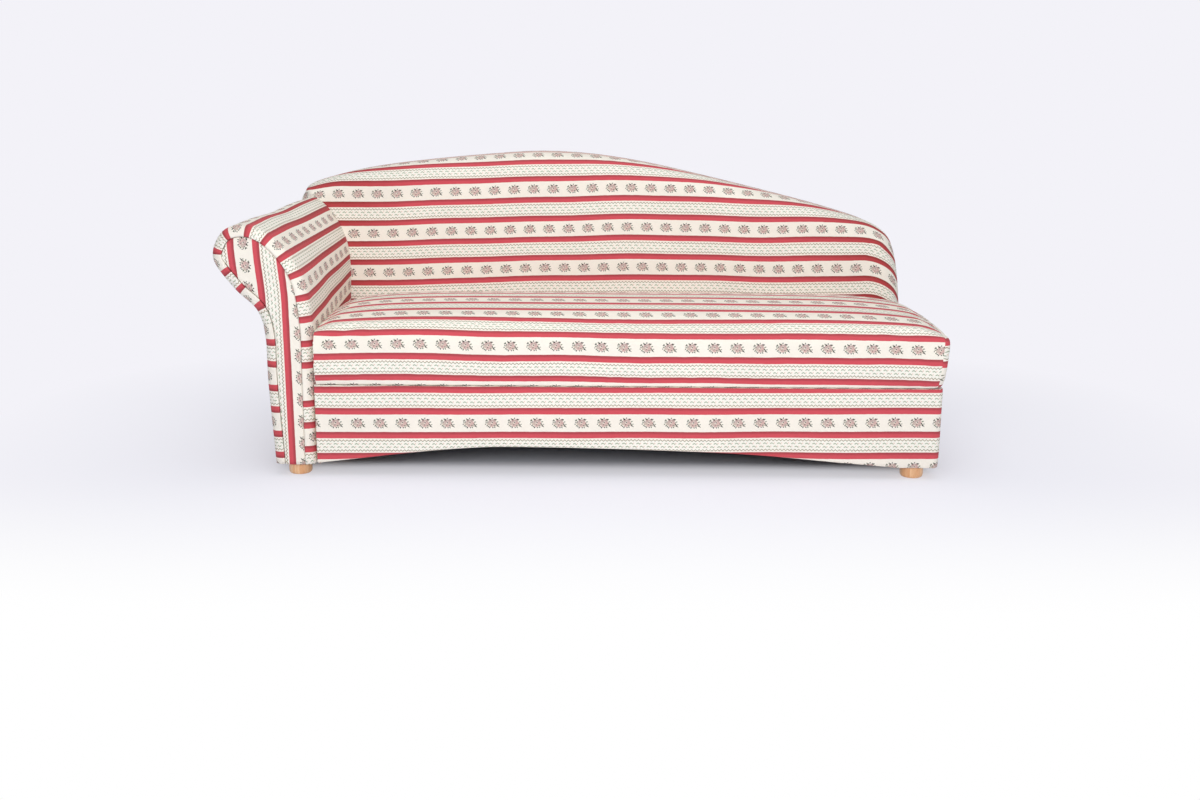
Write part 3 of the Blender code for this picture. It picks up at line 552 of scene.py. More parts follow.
DECK_EDGE = 0.0012        # how far its edge lies inside the base cover
DECK_REAR = 0.122         # its rear edge, just short of the back
DECK_SEAM = -0.300        # where the striped border is sewn to the calico
calico = plain_weave("calico", srgb(232, 222, 204), 0.0016)
u, v = np.linspace(0, 1, 161), np.linspace(0, 1, 61)[:, None]
deck_y = FRONT + DECK_EDGE + v * (DECK_REAR - FRONT - DECK_EDGE)
corner = np.clip(BASE_CORNER - (deck_y - FRONT), 0, BASE_CORNER)
right = BASE_RIGHT - DECK_EDGE - BASE_CORNER + np.sqrt(BASE_CORNER**2 - corner**2)
deck_x = BASE_LEFT + DECK_EDGE + u * (right - BASE_LEFT - DECK_EDGE)
sag = 0.0014 * (0.5 - 0.5 * np.cos(2 * SPRING_COUNT * np.pi * u)) * np.sin(np.pi * v) ** 0.5
sag = sag + 0.0010 * np.exp(-((deck_y - DECK_SEAM) / 0.003) ** 2)
deck_place = np.stack([deck_x, deck_y + 0 * deck_x, BASE_TOP - 0.0006 - sag], -1)
deck = sew("deck_cloth", [(deck_place, laid(deck_x, deck_y - FRONT + 0.030, 46))], (0.1, -0.1, 0.1))
deck.data.materials.append(striped)
deck.data.materials.append(calico)
middles = np.empty(len(deck.data.polygons) * 3)
deck.data.polygons.foreach_get("center", middles)
deck.data.polygons.foreach_set("material_index", (middles[1::3] > DECK_SEAM).astype(int))
wall(deck, 0.0012)
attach(deck, "sofa")
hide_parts("deck_cover", "deck_felt")


# Arm cover
# Striped cloth over foam: one length drawn from the seat over the roll, with the outside panel
# sewn on under the roll and a strip beside the base, all eased round the padded front lip.

ARM_LIP = 0.032           # radius of the padded lip
ARM_REAR_Y = 0.165        # depth of the rear outline
HEEL_TOP = 0.260          # top of the part that runs on under the back
ARM_FRONT_KNOTS = [
    (-0.925, 0.036), (-0.936, 0.28), (-0.937, 0.42), (-0.957, 0.499), (-1.019, 0.562),
    (-1.0765, 0.652), (-1.042, 0.731), (-0.962, 0.746), (-0.884, 0.700), (-0.818, 0.599),
    (-0.796, 0.455), (-0.797, 0.28), (-0.799, 0.036),
]
ARM_REAR_KNOTS = [
    (-0.916, 0.036), (-0.926, 0.28), (-0.929, 0.42), (-0.933, 0.530), (-0.940, 0.630),
    (-0.950, 0.716), (-0.943, 0.772), (-0.900, 0.780), (-0.840, 0.722), (-0.795, 0.620),
    (-0.788, 0.470), (-0.797, 0.28), (-0.799, 0.036),
]
BACK_KNOTS = [
    (-0.932, 0.26), (-0.946, 0.55), (-0.963, 0.735), (-0.953, 0.796), (-0.903, 0.836),
    (-0.70, 0.883), (-0.36, 0.921), (-0.10, 0.9335), (0.18, 0.903), (0.59, 0.812), (0.86, 0.742),
    (0.99, 0.693), (1.043, 0.618), (1.066, 0.45), (1.062, 0.26),
]
BACK_EDGE = 0.065         # radius of the soft front edge of the back
RAKE, RAKE_Y, RAKE_Z = 0.158, 0.165, 0.45   # how the back leans: depth for each metre up, and a place on it
ARM_RED_Z = 0.476         # height on the inner side of a red band with trellis above it
ARM_SEAMS = (2.41, 11.0)  # knots of the seam under the roll, and of the one level with the deck
ARM_SEAM_SINK, ARM_SEAM_REACH = 0.0022, 0.0030   # depth of the crease at a seam, and half its width
OUTSIDE_SHIFT, STRIP_SHIFT = 0.0246, 0.0432      # how far on the cloth of the outside and of the strip lies


def drawn_in(knots, distances):
    """An outline's points, three to a span, moved in by each distance, less where it bends tightly.

    Each point moves along its normal, to its right. Where the distance passes half the
    radius of the bend, only 15 percent of the rest is taken. Returns (points, distances, 2).
    """
    path = through(knots, np.arange(3 * len(knots) - 2) / 3)
    stride = np.diff(path, axis=0)
    length = np.linalg.norm(stride, axis=1)
    heading = np.unwrap(np.arctan2(stride[:, 1], stride[:, 0]))
    bend = -np.diff(heading) / (0.5 * (length[1:] + length[:-1]))
    room = np.pad(0.5 / np.maximum(bend, 0.5), 1, mode="edge")
    for _ in range(3):
        wide = np.pad(room, 1, mode="edge")
        room = np.minimum(room, 0.5 * np.minimum(wide[:-2], wide[2:]) + 0.5 * room)
    reach = np.minimum(distances, room[:, None] + 0.15 * np.maximum(distances - room[:, None], 0))
    slope = np.gradient(path, axis=0)
    slope /= np.linalg.norm(slope, axis=1)[:, None]
    normal = np.stack([slope[:, 1], -slope[:, 0]], -1)
    return path[:, None] + reach[..., None] * normal[:, None]


def rings(knots, distances, at):
    """The outline drawn in by each distance, read at fractional knot numbers: (distances, points, 2)."""
    drawn = drawn_in(knots, np.asarray(distances, float))
    read = through(drawn.reshape(len(drawn), -1), 3 * np.asarray(at))
    return read.reshape(len(at), len(distances), 2).swapaxes(0, 1)


def even(knots, first, last, count):
    """Fractional knot numbers that cut the curve into equal lengths."""
    dense = np.linspace(first, last, 3000)
    run = run_of(through(knots, dense))
    return np.interp(np.linspace(0, run[-1], count), run, dense)


def back_front(x, z):
    """Depth of the back's padded front: a raked plane that falls away by a quarter round near the outline."""
    outline = through(BACK_KNOTS, np.linspace(0, len(BACK_KNOTS) - 1, 900))
    inside = np.hypot(x[:, None] - outline[:, 0], z[:, None] - outline[:, 1]).min(1)
    edge = np.clip(BACK_EDGE - inside, 0, BACK_EDGE)
    return RAKE_Y + RAKE * (z - RAKE_Z) + BACK_EDGE - np.sqrt(BACK_EDGE**2 - edge**2)


dense = np.linspace(0, 1, 400)
heel_knot = np.interp(HEEL_TOP, through(ARM_FRONT_KNOTS, dense)[:, 1], dense)
heel_count = 20
at = np.concatenate([even(ARM_FRONT_KNOTS, 0, heel_knot, heel_count)[:-1],
                     even(ARM_FRONT_KNOTS, heel_knot, 12, 136)])
# a point on each seam and one on either side of it, for the crease
dense = np.linspace(0, 12, 4000)
dense_run = run_of(through(ARM_FRONT_KNOTS, dense))
seam_run = np.interp(ARM_SEAMS, dense, dense_run)
clear = np.abs(np.interp(at, dense, dense_run)[:, None] - seam_run).min(1) > 1.5 * ARM_SEAM_REACH
beside_seams = np.interp(seam_run + ARM_SEAM_REACH * np.array([[-1], [1]]), dense_run, dense)
at = np.sort(np.concatenate([at[clear], ARM_SEAMS, beside_seams.ravel()]))
roll_seam, deck_seam = np.searchsorted(at, ARM_SEAMS)
front_path, rear_path = through(ARM_FRONT_KNOTS, at), through(ARM_REAR_KNOTS, at)
run = run_of(front_path)
for path in (front_path, rear_path):
    slope = np.gradient(path, axis=0)[[roll_seam, deck_seam]]
    slope /= np.linalg.norm(slope, axis=1)[:, None]
    path[[roll_seam, deck_seam]] += ARM_SEAM_SINK * np.stack([slope[:, 1], -slope[:, 0]], -1)
inner_half = at > 9
red_run = np.interp(-ARM_RED_Z, -front_path[inner_half, 1], run[inner_half])
across = red_run - run + RED_MIDDLES[1]          # grows up the inner side and over the roll
ease = np.interp(at, [3.3, 3.9, 4.6, 6.2], [-0.013, -0.0165, -0.015, 0])     # stretched under the roll
cuts = ((slice(0, roll_seam + 1), across + OUTSIDE_SHIFT), (slice(roll_seam, deck_seam + 1), across + ease),
        (slice(deck_seam, None), across + STRIP_SHIFT))
# how far the stripes rise to the rear
climb = np.interp(at, [6.5, 8, 8.4, 9, 9.4, 9.9], [0, 0.008, 0.014, 0.022, 0.040, 0.046])

# lip: from the seam beside the facing, round a quarter turn, to the side of the arm
quarter = np.radians(np.linspace(90, 0, 11))
lip_inset = np.concatenate([[0.0326, 0.0323], ARM_LIP * (1 - np.cos(quarter))])
lip_y = np.concatenate([[FRONT + 0.012, FRONT + 0.005], FRONT + ARM_LIP * (1 - np.sin(quarter))])
lip_rim = rings(ARM_FRONT_KNOTS, [ARM_LIP], at)[0]
lip_path = front_path + (lip_inset / ARM_LIP)[:, None, None] * (lip_rim - front_path)
lip_path[..., 1] = np.maximum(lip_path[..., 1], BOTTOM)
# gathers 0.9 mm deep and 21 mm apart, strongest round the outer end of the roll
gather = 0.0009 * np.sin(2 * np.pi * run / 0.021 + 2 * np.sin(run * 23))
gather = gather * np.exp(-((run - np.interp(5.6, at, run)) / 0.14) ** 2)
gather = np.sin(np.pi * np.clip(lip_inset / ARM_LIP, 0, 1))[:, None] * gather
lip = np.stack([lip_path[..., 0], lip_y[:, None] - gather, lip_path[..., 1]], -1)
lip_along = np.concatenate([[-0.012, -0.005], (np.pi / 2 - quarter) * ARM_LIP])
lips = [(lip[:, cut], laid(lip_along[:, None], cloth[cut], 42)) for cut, cloth in cuts]

# sides and roll: straight lines from the front outline to the rear outline, up to the back
share = np.linspace(0, 1, 34)[:, None]
upright = np.clip(rear_path[:, 1], HEEL_TOP, None)
stop = back_front(rear_path[:, 0], upright) + 0.006
stop[:heel_count] = stop[heel_count - 1]
depth = FRONT + ARM_LIP + share * (stop - FRONT - ARM_LIP)
blend = np.clip((depth - FRONT - ARM_LIP) / (ARM_REAR_Y - FRONT - ARM_LIP), 0, 1)[..., None]
side = (1 - blend) * front_path + blend * rear_path
soft = np.sin(np.pi * share) * 0.0022 * unevenness(depth, across + 0 * depth, 0.30, 11)
slope = np.gradient(side, axis=1)
slope /= np.linalg.norm(slope, axis=2)[..., None]
side = side + (soft * (side[..., 1] > 0.27))[..., None] * np.stack([-slope[..., 1], slope[..., 0]], -1)
side = np.stack([side[..., 0], depth, np.maximum(side[..., 1], BOTTOM)], -1)
side_along = depth - FRONT - ARM_LIP + lip_along[-1]
sides = [(side[:, cut], laid(side_along[:, cut], (cloth - share * climb)[:, cut], 42)) for cut, cloth in cuts]

# heel: the lower outside runs on under the back to the rear
heel_y = stop[0] + np.linspace(0, 1, 24)[:, None] * (REAR - stop[0])
heel = np.stack([rear_path[:heel_count, 0] + 0 * heel_y, heel_y + 0 * rear_path[:heel_count, 0],
                 rear_path[:heel_count, 1] + 0 * heel_y], -1)
heel_flat = laid(heel_y - FRONT - ARM_LIP + lip_along[-1], across[:heel_count] + OUTSIDE_SHIFT, 42)
arm = sew("arm_upholstery", [*lips, *sides, (heel, heel_flat)], (-0.86, 0.0, 0.45))
arm.data.materials.append(striped)


def points_of(mesh):
    """The mesh's points as (points, 3)."""
    found = np.empty(len(mesh.vertices) * 3)
    mesh.vertices.foreach_get("co", found)
    return found.reshape(-1, 3)


def paint_shade(piece, share):
    """Stores painted shade at each point, from 0 to 1, by its place: how much of the darker red the bands take
    there.
    """
    shade_layer = piece.data.attributes.new("painted_shade", "FLOAT", "POINT")
    shade_layer.data.foreach_set("value", np.clip(share(*points_of(piece.data).T), 0, 1))


# painted shade on the arm: the reds darker towards the back on the roll and the inner side, little on the outside
paint_shade(arm, lambda x, y, z: 0.20 + 0.60 * np.clip((y - FRONT) / 0.36, 0, 1) * np.clip((x + 1.02) / 0.08, 0, 1))
wall(arm, SOLE)
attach(arm, "sofa")
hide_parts("arm_cover", "arm_foam")


# Arm facing
# The shaped front panel of the arm: cloth over thin wadding on a board, its stripes upright,
# pressed into the ring of the lip so that only a fine dark seam shows round it.

FACING_INSET = 0.0336         # how far its rim lies inside the arm's outline
FACING_CORNERS = (5.2, 8.0)   # knots where its outer side, its top and its inner side meet
FACING_RED_X = -1.0175        # where a red band with posies to its right stands


def coons(low, high, left, right):
    """Surface between four edges: the two straight blends of opposite edges, less that of the corners.

    low and high run left to right, left and right run upwards. Returns (rows, columns, n).
    """
    q = np.linspace(0, 1, len(left))[:, None, None]
    p = np.linspace(0, 1, len(low))[None, :, None]
    corners = ((1 - q) * (1 - p) * low[0] + (1 - q) * p * low[-1] + q * (1 - p) * high[0] + q * p * high[-1])
    return (1 - q) * low + q * high + (1 - p) * left[:, None] + p * right[:, None] - corners


def frame_fill(rim, upright, across_count):
    """Fills an outline that runs up its left side, over the top and down its right, with a grid.

    The grid starts as a blend of the four edges. Its inner points then settle to the mean of
    their four neighbours, so that no cell folds over where the outline bends.
    """
    left, right = rim[:upright], rim[upright + across_count - 2:][::-1]
    top = rim[upright - 1:upright - 1 + across_count]
    p = np.linspace(0, 1, across_count)[:, None]
    grid = coons((1 - p) * left[0] + p * right[0], top, left, right)
    for _ in range(800):
        grid[1:-1, 1:-1] = 0.25 * (grid[:-2, 1:-1] + grid[2:, 1:-1] + grid[1:-1, :-2] + grid[1:-1, 2:])
    return grid


upright_count, top_count = 60, 22
at = np.concatenate([even(ARM_FRONT_KNOTS, 0, FACING_CORNERS[0], upright_count)[:-1],
                     even(ARM_FRONT_KNOTS, *FACING_CORNERS, top_count)[:-1],
                     even(ARM_FRONT_KNOTS, FACING_CORNERS[1], 12, upright_count)])
edge_inset = FACING_INSET + np.array([0.0, 0.0, 0.0006, 0.0018, 0.0038])
edge_y = FRONT + np.array([0.0118, 0.0062, 0.0042, 0.0030, 0.0024])
edge = rings(ARM_FRONT_KNOTS, edge_inset, at)
edge[..., 1] = np.where(np.abs(edge[..., 1] - BOTTOM) < 0.012, np.maximum(edge[..., 1], BOTTOM), edge[..., 1])
edge[:, [0, -1], 1] = BOTTOM
fill = frame_fill(edge[-1], upright_count, top_count)
p = np.linspace(-1, 1, top_count)
pillow = 0.0022 * (1 - p**4) * (1 - np.linspace(0, 1, upright_count)[:, None] ** 6)
rim = np.stack([edge[..., 0], edge_y[:, None] + 0 * edge[..., 0], edge[..., 1]], -1)
panel = np.stack([fill[..., 0], edge_y[-1] - pillow, fill[..., 1]], -1)


def facing_flat(place):
    """Cloth of the facing: X runs across it, eased 11 mm to the right as the panel narrows downwards."""
    down = np.clip((0.70 - place[..., 2]) / 0.18, 0, 1)
    ease = 0.011 * down**2 * (3 - 2 * down)
    return np.stack([place[..., 2], place[..., 0] - ease - FACING_RED_X + RED_MIDDLES[0]], -1)


facing = sew("arm_facing_panel", [(rim, facing_flat(rim)), (panel, facing_flat(panel))],
             (-0.87, FRONT + 0.2, 0.4))
facing.data.materials.append(striped)
wall(facing, SOLE)
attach(facing, "sofa")
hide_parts("arm_facing")


# Back cover
# The long raked back under its sloping crest: cloth over foam, tight across the front, rolled
# over the soft edge and drawn round both ends to the rear of the frame.

BACK_CROWN = 0.009        # how far the padding stands out in the middle
BACK_CORNERS = (3.5, 11.5)    # knots where its ends and its crest meet
BACK_RED_Z = 0.518        # height of a red band with posies above it, near the middle
RAKE_RUN = 1.0124         # run of the raked plane for each metre up
BACK_EASE, BACK_EASE_Z = 1.056, 0.727   # how much closer the bands lie than flat, and the height that stays
CREST_EASE, CREST_RISE, CREST_REACH = 0.09, 0.587, 0.07   # how much closer again near the crest, and where
BACK_POSY, BACK_POSY_PITCH, BACK_POSY_STEP = 0.0220, 1.0185, 0.097   # where the posies fall, row by row
DROOP_KNOTS = [(-1.20, 0.026), (-0.95, 0.030), (-0.70, 0.027), (-0.45, 0.018), (-0.20, 0.009), (0.05, 0.001),
               (0.30, 0.000), (0.55, 0.004), (0.80, 0.002), (1.05, -0.004), (1.30, -0.006)]
DRAW_REACH, DRAW_SPAN = 0.125, 0.126      # how far in the open end draws the stripes down, and to the full
DRAW_INSIDE, DRAW_BEYOND = 0.075, 0.030   # how far down, inside the outline and past it


def back_flat(x, rise, inside, facing):
    """Cloth of the back: along it runs X, across it the rise on the raked plane.

    The stripes droop gently to the left. Near the outline they are drawn down by a power of
    the distance, in the share in which the outline there faces the open end, and past it
    they soon run level. inside is the distance from the outline, facing that share.
    """
    droop = through(DROOP_KNOTS, np.linspace(0, len(DROOP_KNOTS) - 1, 400))
    near = np.maximum(DRAW_REACH - inside, 0) / DRAW_SPAN
    drawn = DRAW_INSIDE * np.minimum(near, 1) ** 2.2
    drawn = drawn + DRAW_BEYOND * (1 - np.exp(-np.maximum(near - 1, 0) / 0.18))
    held = RAKE_RUN * (BACK_EASE_Z - HEEL_TOP)
    across = held + BACK_EASE * (rise - held) + CREST_EASE * np.clip(rise - CREST_RISE, 0, CREST_REACH)
    across = across + np.interp(x, droop[:, 0], droop[:, 1]) + drawn * facing
    across = across - RAKE_RUN * (BACK_RED_Z - HEEL_TOP) + RED_MIDDLES[0]
    return laid(BACK_POSY_PITCH * x - BACK_POSY - BACK_POSY_STEP * across, across, 43)


side_count, crest_count = 46, 190
at = np.concatenate([even(BACK_KNOTS, 0, BACK_CORNERS[0], side_count)[:-1],
                     even(BACK_KNOTS, *BACK_CORNERS, crest_count)[:-1],
                     even(BACK_KNOTS, BACK_CORNERS[1], 14, side_count)])
turn = np.radians(np.linspace(0, 90, 12))
outline, rim = through(BACK_KNOTS, at), rings(BACK_KNOTS, [BACK_EDGE], at)[0]
edge = outline + (1 - np.cos(turn))[:, None, None] * (rim - outline)
edge[:, [0, -1], 1] = HEEL_TOP
edge_y = RAKE_Y + RAKE * (edge[..., 1] - RAKE_Z) + (BACK_EDGE * (1 - np.sin(turn)))[:, None]
to_rear = np.linspace(1, 0, 6)[:-1, None]
shoulder_y = edge_y[0] + to_rear * (REAR - edge_y[0])
shoulder = np.broadcast_to(edge[0], (5, *edge[0].shape))
strip = np.stack([np.concatenate([shoulder[..., 0], edge[..., 0]]), np.concatenate([shoulder_y, edge_y]),
                  np.concatenate([shoulder[..., 1], edge[..., 1]])], -1)
slope = np.gradient(edge[0], axis=0)
slope /= np.linalg.norm(slope, axis=1)[:, None]
beyond = np.concatenate([BACK_EDGE * np.pi / 2 + to_rear * (REAR - edge_y[0]),
                         (BACK_EDGE * (np.pi / 2 - turn))[:, None] + 0 * edge_y[0]])
rim = edge[-1]
facing_end = np.clip(-slope[:, 1], 0, 1) ** 1.5
strip_flat = back_flat(rim[:, 0] - beyond * slope[:, 1], RAKE_RUN * (rim[:, 1] - HEEL_TOP) + beyond * slope[:, 0],
                       BACK_EDGE - beyond, facing_end)
fill = frame_fill(rim, side_count, crest_count)
p, q = np.linspace(-1, 1, crest_count), np.linspace(0, 1, side_count)[:, None]
full = (1 - p**10) ** 2 * (1 - q**4) ** 2
loose = 0.0022 * unevenness(fill[..., 0], fill[..., 1], 0.45, 21)
front_y = RAKE_Y + RAKE * (fill[..., 1] - RAKE_Z) - full * (BACK_CROWN + loose)
front = np.stack([fill[..., 0], front_y, fill[..., 1]], -1)
gap = np.linalg.norm(fill.reshape(-1, 1, 2) - outline, axis=2)
nearest, closest = gap.argmin(1).reshape(fill.shape[:2]), gap.min(1).reshape(fill.shape[:2])
front_flat = back_flat(front[..., 0], RAKE_RUN * (front[..., 2] - HEEL_TOP), closest, facing_end[nearest])
back = sew("back_upholstery", [(strip, strip_flat), (front, front_flat)], (0.05, 0.35, 0.5))
back.data.materials.append(striped)
# painted shade on the back: the reds darker in the corner beside the arm, and where the open end turns away
paint_shade(back, lambda x, y, z: np.maximum(0.80 * np.clip((-0.58 - x) / 0.20, 0, 1),
                                         0.90 * np.clip((x - 0.60) / 0.38, 0, 1) ** 1.4))
wall(back, SOLE)
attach(back, "sofa")
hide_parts("back_cover", "back_foam")


# Outside back
# The panel that closes the rear: striped cloth pulled over card and thin wadding, its edge
# turned in and blind-tacked just inside the outline of the back, down to the floor rail.

PANEL_MARGIN, PANEL_HEM = 0.006, 0.040   # how far it lies inside the outline, and the height of its lower edge
panel_inset = PANEL_MARGIN + np.array([0.0, 0.0, 0.0006, 0.0018, 0.0050, 0.0120])
panel_y = REAR + np.array([0.0006, 0.0030, 0.0043, 0.0050, 0.0056, 0.0060])
edge = rings(BACK_KNOTS, panel_inset, at)
edge[:, [0, -1], 1] = PANEL_HEM
rim = np.stack([edge[..., 0], panel_y[:, None] + 0 * edge[..., 0], edge[..., 1]], -1)
fill = frame_fill(edge[-1], side_count, crest_count)
bow = 0.0016 * (1 - p**2) * (1 - (2 * q - 1) ** 2) * (1 + 0.5 * unevenness(fill[..., 0], fill[..., 1], 0.5, 31))
sheet = np.stack([fill[..., 0], panel_y[-1] + bow, fill[..., 1]], -1)


def panel_flat(place):
    """Cloth of the outside back: along it runs X, across it the height, in step with the base."""
    return np.stack([-place[..., 0], place[..., 2] - BASE_RED + RED_MIDDLES[0]], -1)


outside = sew("outside_back_panel", [(rim, panel_flat(rim)), (sheet, panel_flat(sheet))], (0.05, 0.2, 0.4))
outside.data.materials.append(striped)
wall(outside, SOLE)
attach(outside, "sofa")
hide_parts("outside_back")


# Seat cushion
# One long loose cushion: a foam block in a zipped cover, its wrap running from the front edge
# over the crowned top to the rear, with a boxed border sewn in at each end.

CUSHION_LEFT, CUSHION_RIGHT = -0.792, 1.0785
CUSHION_LOW, CUSHION_EDGE = 0.2806, 0.436
CUSHION_RED_Z = 0.3645    # height on the front of a red band with posies above it
CUSHION_KNOTS = [
    (-0.402, 0.2806), (-0.4165, 0.308), (-0.4200, 0.362), (-0.409, 0.430), (-0.352, 0.459),
    (-0.275, 0.478), (-0.100, 0.4965), (0.050, 0.484), (0.114, 0.461), (0.145, 0.420),
    (0.131, 0.350), (0.123, 0.297), (0.110, 0.2806),
]
CUSHION_POSY = 0.0190     # where along the front the posies fall
CUSHION_FALL = (0.0085, 0.0045)   # how far the bands fall to the open end in all, and below level there
BORDER_SWELL = 0.019      # how far the open boxed end stands out beyond its seam
BORDER_ROLL = 0.015       # how far in from the seam it takes to stand out so far
SEAM_PINCH = 0.0030       # how far the wrap is drawn in along those seams
CORNER_DRAW = 0.012       # how far each seam leans in towards the lower edge
BORDER_MIDDLE, BORDER_REACH = (0.0, -0.140, 0.358), (1e9, 0.27, 0.078)   # middle of the end, and half its size
BORDER_PATTERN_Z = 0.274  # height from which the pattern on it is laid
ZIP_Z = 0.352             # height of the zip on the rear wall
SWELL_FRAMES = 20

wall_count, top_count = 16, 52
at = np.concatenate([even(CUSHION_KNOTS, 0, 3, wall_count)[:-1], even(CUSHION_KNOTS, 3, 9, top_count)[:-1],
                     even(CUSHION_KNOTS, 9, 12, wall_count)])
section = through(CUSHION_KNOTS, at)
run = run_of(section)
left_seam, right_seam = CUSHION_LEFT + 0.003, CUSHION_RIGHT - BORDER_SWELL
near_seam = np.array([0.0, 0.0025, 0.006])
stations = np.concatenate([left_seam + near_seam, np.linspace(left_seam + 0.012, right_seam - 0.012, 150),
                           right_seam - near_seam[::-1]])[:, None]
from_seam = np.minimum(stations - left_seam, right_seam - stations)
drawn = SEAM_PINCH * np.exp(-(right_seam - stations) / 0.004)
crown = 1 - 0.85 * np.exp(-(from_seam + BORDER_SWELL) / 0.112)
half = (CUSHION_RIGHT - CUSHION_LEFT) / 2
bow = 1 - ((stations - CUSHION_LEFT - half) / half) ** 2
wrap_z = np.where(section[:, 1] > CUSHION_EDGE, CUSHION_EDGE + (section[:, 1] - CUSHION_EDGE) * crown,
                  section[:, 1])
draw_in = 0.004 * bow * (wrap_z - CUSHION_LOW) / (CUSHION_EDGE - CUSHION_LOW)
wrap_y = section[:, 0] + np.where(section[:, 0] < -0.38, draw_in, 0)
slope = np.stack([np.gradient(wrap_y, axis=1), np.gradient(wrap_z, axis=1)], -1)
slope /= np.linalg.norm(slope, axis=2)[..., None]
wrap_y, wrap_z = wrap_y + drawn * slope[..., 1], wrap_z - drawn * slope[..., 0]
wrap_z[:, [0, -1]] = CUSHION_LOW + drawn
wrap_z = np.maximum(wrap_z, CUSHION_LOW + drawn)
low_share = np.clip((CUSHION_EDGE - wrap_z) / (CUSHION_EDGE - CUSHION_LOW), 0, 1)
lean = CORNER_DRAW * low_share * np.exp(-(right_seam - stations) / 0.10)
wrap = np.stack([stations - lean, wrap_y, wrap_z], -1)
across = run - np.interp(CUSHION_RED_Z, section[:wall_count, 1], run[:wall_count]) + RED_MIDDLES[0]
slant = CUSHION_FALL[0] * (right_seam - stations) / (right_seam - left_seam) - CUSHION_FALL[1]
wrap_flat = laid(stations - CUSHION_POSY, across - slant, 44)
q = np.linspace(0, 1, top_count)
under = (1 - q)[None, :, None] * wrap[:, :1] + q[None, :, None] * wrap[:, -1:]
under_flat = laid(under[..., 0] - CUSHION_POSY, across[0] - (under[..., 1] - under[:, :1, 1]), 44)


def border(ring, low_line, push):
    """Boxed end of the cushion: rolled out from its seam by a quarter of an ellipse, then all but flat.

    Each row of the roll is the seam ring drawn in towards its middle, BORDER_ROLL at most.
    """
    closed = np.concatenate([ring, low_line[::-1][1:]])
    around = np.radians(np.linspace(0, 90, 7))[:, None, None]
    roll = closed - (closed - BORDER_MIDDLE) * BORDER_ROLL * (1 - np.cos(around)) / np.array(BORDER_REACH)
    roll[..., 0] = closed[:, 0] + push * np.sin(around[..., 0])
    inner = roll[-1, :len(ring)]
    front, rear = inner[:wall_count], inner[-wall_count:][::-1]
    top = inner[wall_count - 1:wall_count + top_count - 1]
    grid = coons(roll[-1, len(ring) - 1:][::-1], top, front, rear)
    p, q = np.linspace(-1, 1, top_count), np.linspace(-1, 1, wall_count)[:, None]
    grid[..., 0] += 0.15 * push * (1 - p**2) * (1 - q**2)
    return [(place, np.stack([place[..., 1], place[..., 2] - BORDER_PATTERN_Z], -1)) for place in (roll, grid)]


def swell(piece, held, pressure, reach, spare):
    """Fills a sewn cover by cloth simulation: some frames of air pressure with no weight.

    held is each point's hold on the shape it was cut to, 1 at a seam; spare is extra cloth
    as a share of its length. No point moves further than reach, and nothing stays on the piece.
    """
    grip = piece.vertex_groups.new(name="held")
    for share in np.unique(np.round(held, 2)):
        grip.add(np.flatnonzero(np.round(held, 2) == share).tolist(), float(share), "REPLACE")
    cloth = piece.modifiers.new("swell", "CLOTH")
    cloth.settings.quality = 6
    cloth.settings.mass = 0.25
    cloth.settings.tension_stiffness = cloth.settings.compression_stiffness = 18.0
    cloth.settings.shear_stiffness = 6.0
    cloth.settings.bending_stiffness = 0.4
    cloth.settings.use_pressure = True
    cloth.settings.uniform_pressure_force = pressure
    cloth.settings.shrink_min = -spare
    cloth.settings.vertex_group_mass = grip.name
    cloth.settings.effector_weights.gravity = 0.0
    cloth.collision_settings.use_collision = False
    cloth.point_cache.frame_end = SWELL_FRAMES
    for number in range(1, SWELL_FRAMES + 1):
        scene.frame_set(number)
    filled = piece.evaluated_get(bpy.context.evaluated_depsgraph_get()).data
    cut = points_of(piece.data)
    move = points_of(filled) - cut
    far = np.linalg.norm(move, axis=1)[:, None]
    move *= np.minimum(1, reach / np.maximum(far, 1e-9))
    piece.modifiers.remove(cloth)
    piece.vertex_groups.remove(grip)
    piece.data.vertices.foreach_set("co", (cut + move).ravel())
    piece.data.update()
    scene.frame_set(1)


cushion = sew("seat_cushion_cover", [(wrap, wrap_flat), (under, under_flat),
                                     *border(wrap[0], under[0], -0.003),
                                     *border(wrap[-1], under[-1], BORDER_SWELL)], (0.15, -0.14, 0.38))
cushion.data.materials.append(striped)
# held fast along the lower edge and the zip, firmly on the rear wall and on the boxed ends
spot = points_of(cushion.data)
held = np.where(spot[:, 2] < CUSHION_LOW + 0.004, 1.0, 0.0)
held = np.maximum(held, np.where((spot[:, 1] > 0.10) & (spot[:, 2] < 0.44), 0.9, 0.0))
beyond = np.maximum(left_seam - spot[:, 0], spot[:, 0] - right_seam)
held = np.maximum(held, np.where(beyond > -0.004, 0.85, 0.0))
held = np.maximum(held, np.where((np.abs(spot[:, 2] - ZIP_Z) < 0.03) & (spot[:, 1] > 0.1), 1.0, 0.0))
swell(cushion, held, pressure=3.0, reach=0.012, spare=0.012)
finer = cushion.modifiers.new("finer", "SUBSURF")
finer.levels = finer.render_levels = 1
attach(cushion, "seat_cushion")
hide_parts("cushion_cover", "cushion_foam")


# Zip
# A coil zip along the rear wall of the cushion cover: a helix of nylon on a cotton tape, and a
# zinc slider with a pull tab that runs the length of it.

ZIP_X = (-0.60, 0.90)
TAPE_WIDTH, TAPE_TAIL = 0.017, 0.006     # tape, and how far it runs on past the coil
ZIP_PITCH = 0.0030        # advance of one turn of the coil
COIL_RADII, COIL_WIRE = (0.0006, 0.0021), 0.00042   # of the flattened helix, and of its wire
SLIDER_X = -0.590         # where the slider rests


def rear_wall(z):
    """Depth of the cushion's rear wall at a height."""
    return np.interp(z, section[:-wall_count - 1:-1, 1], section[:-wall_count - 1:-1, 0])


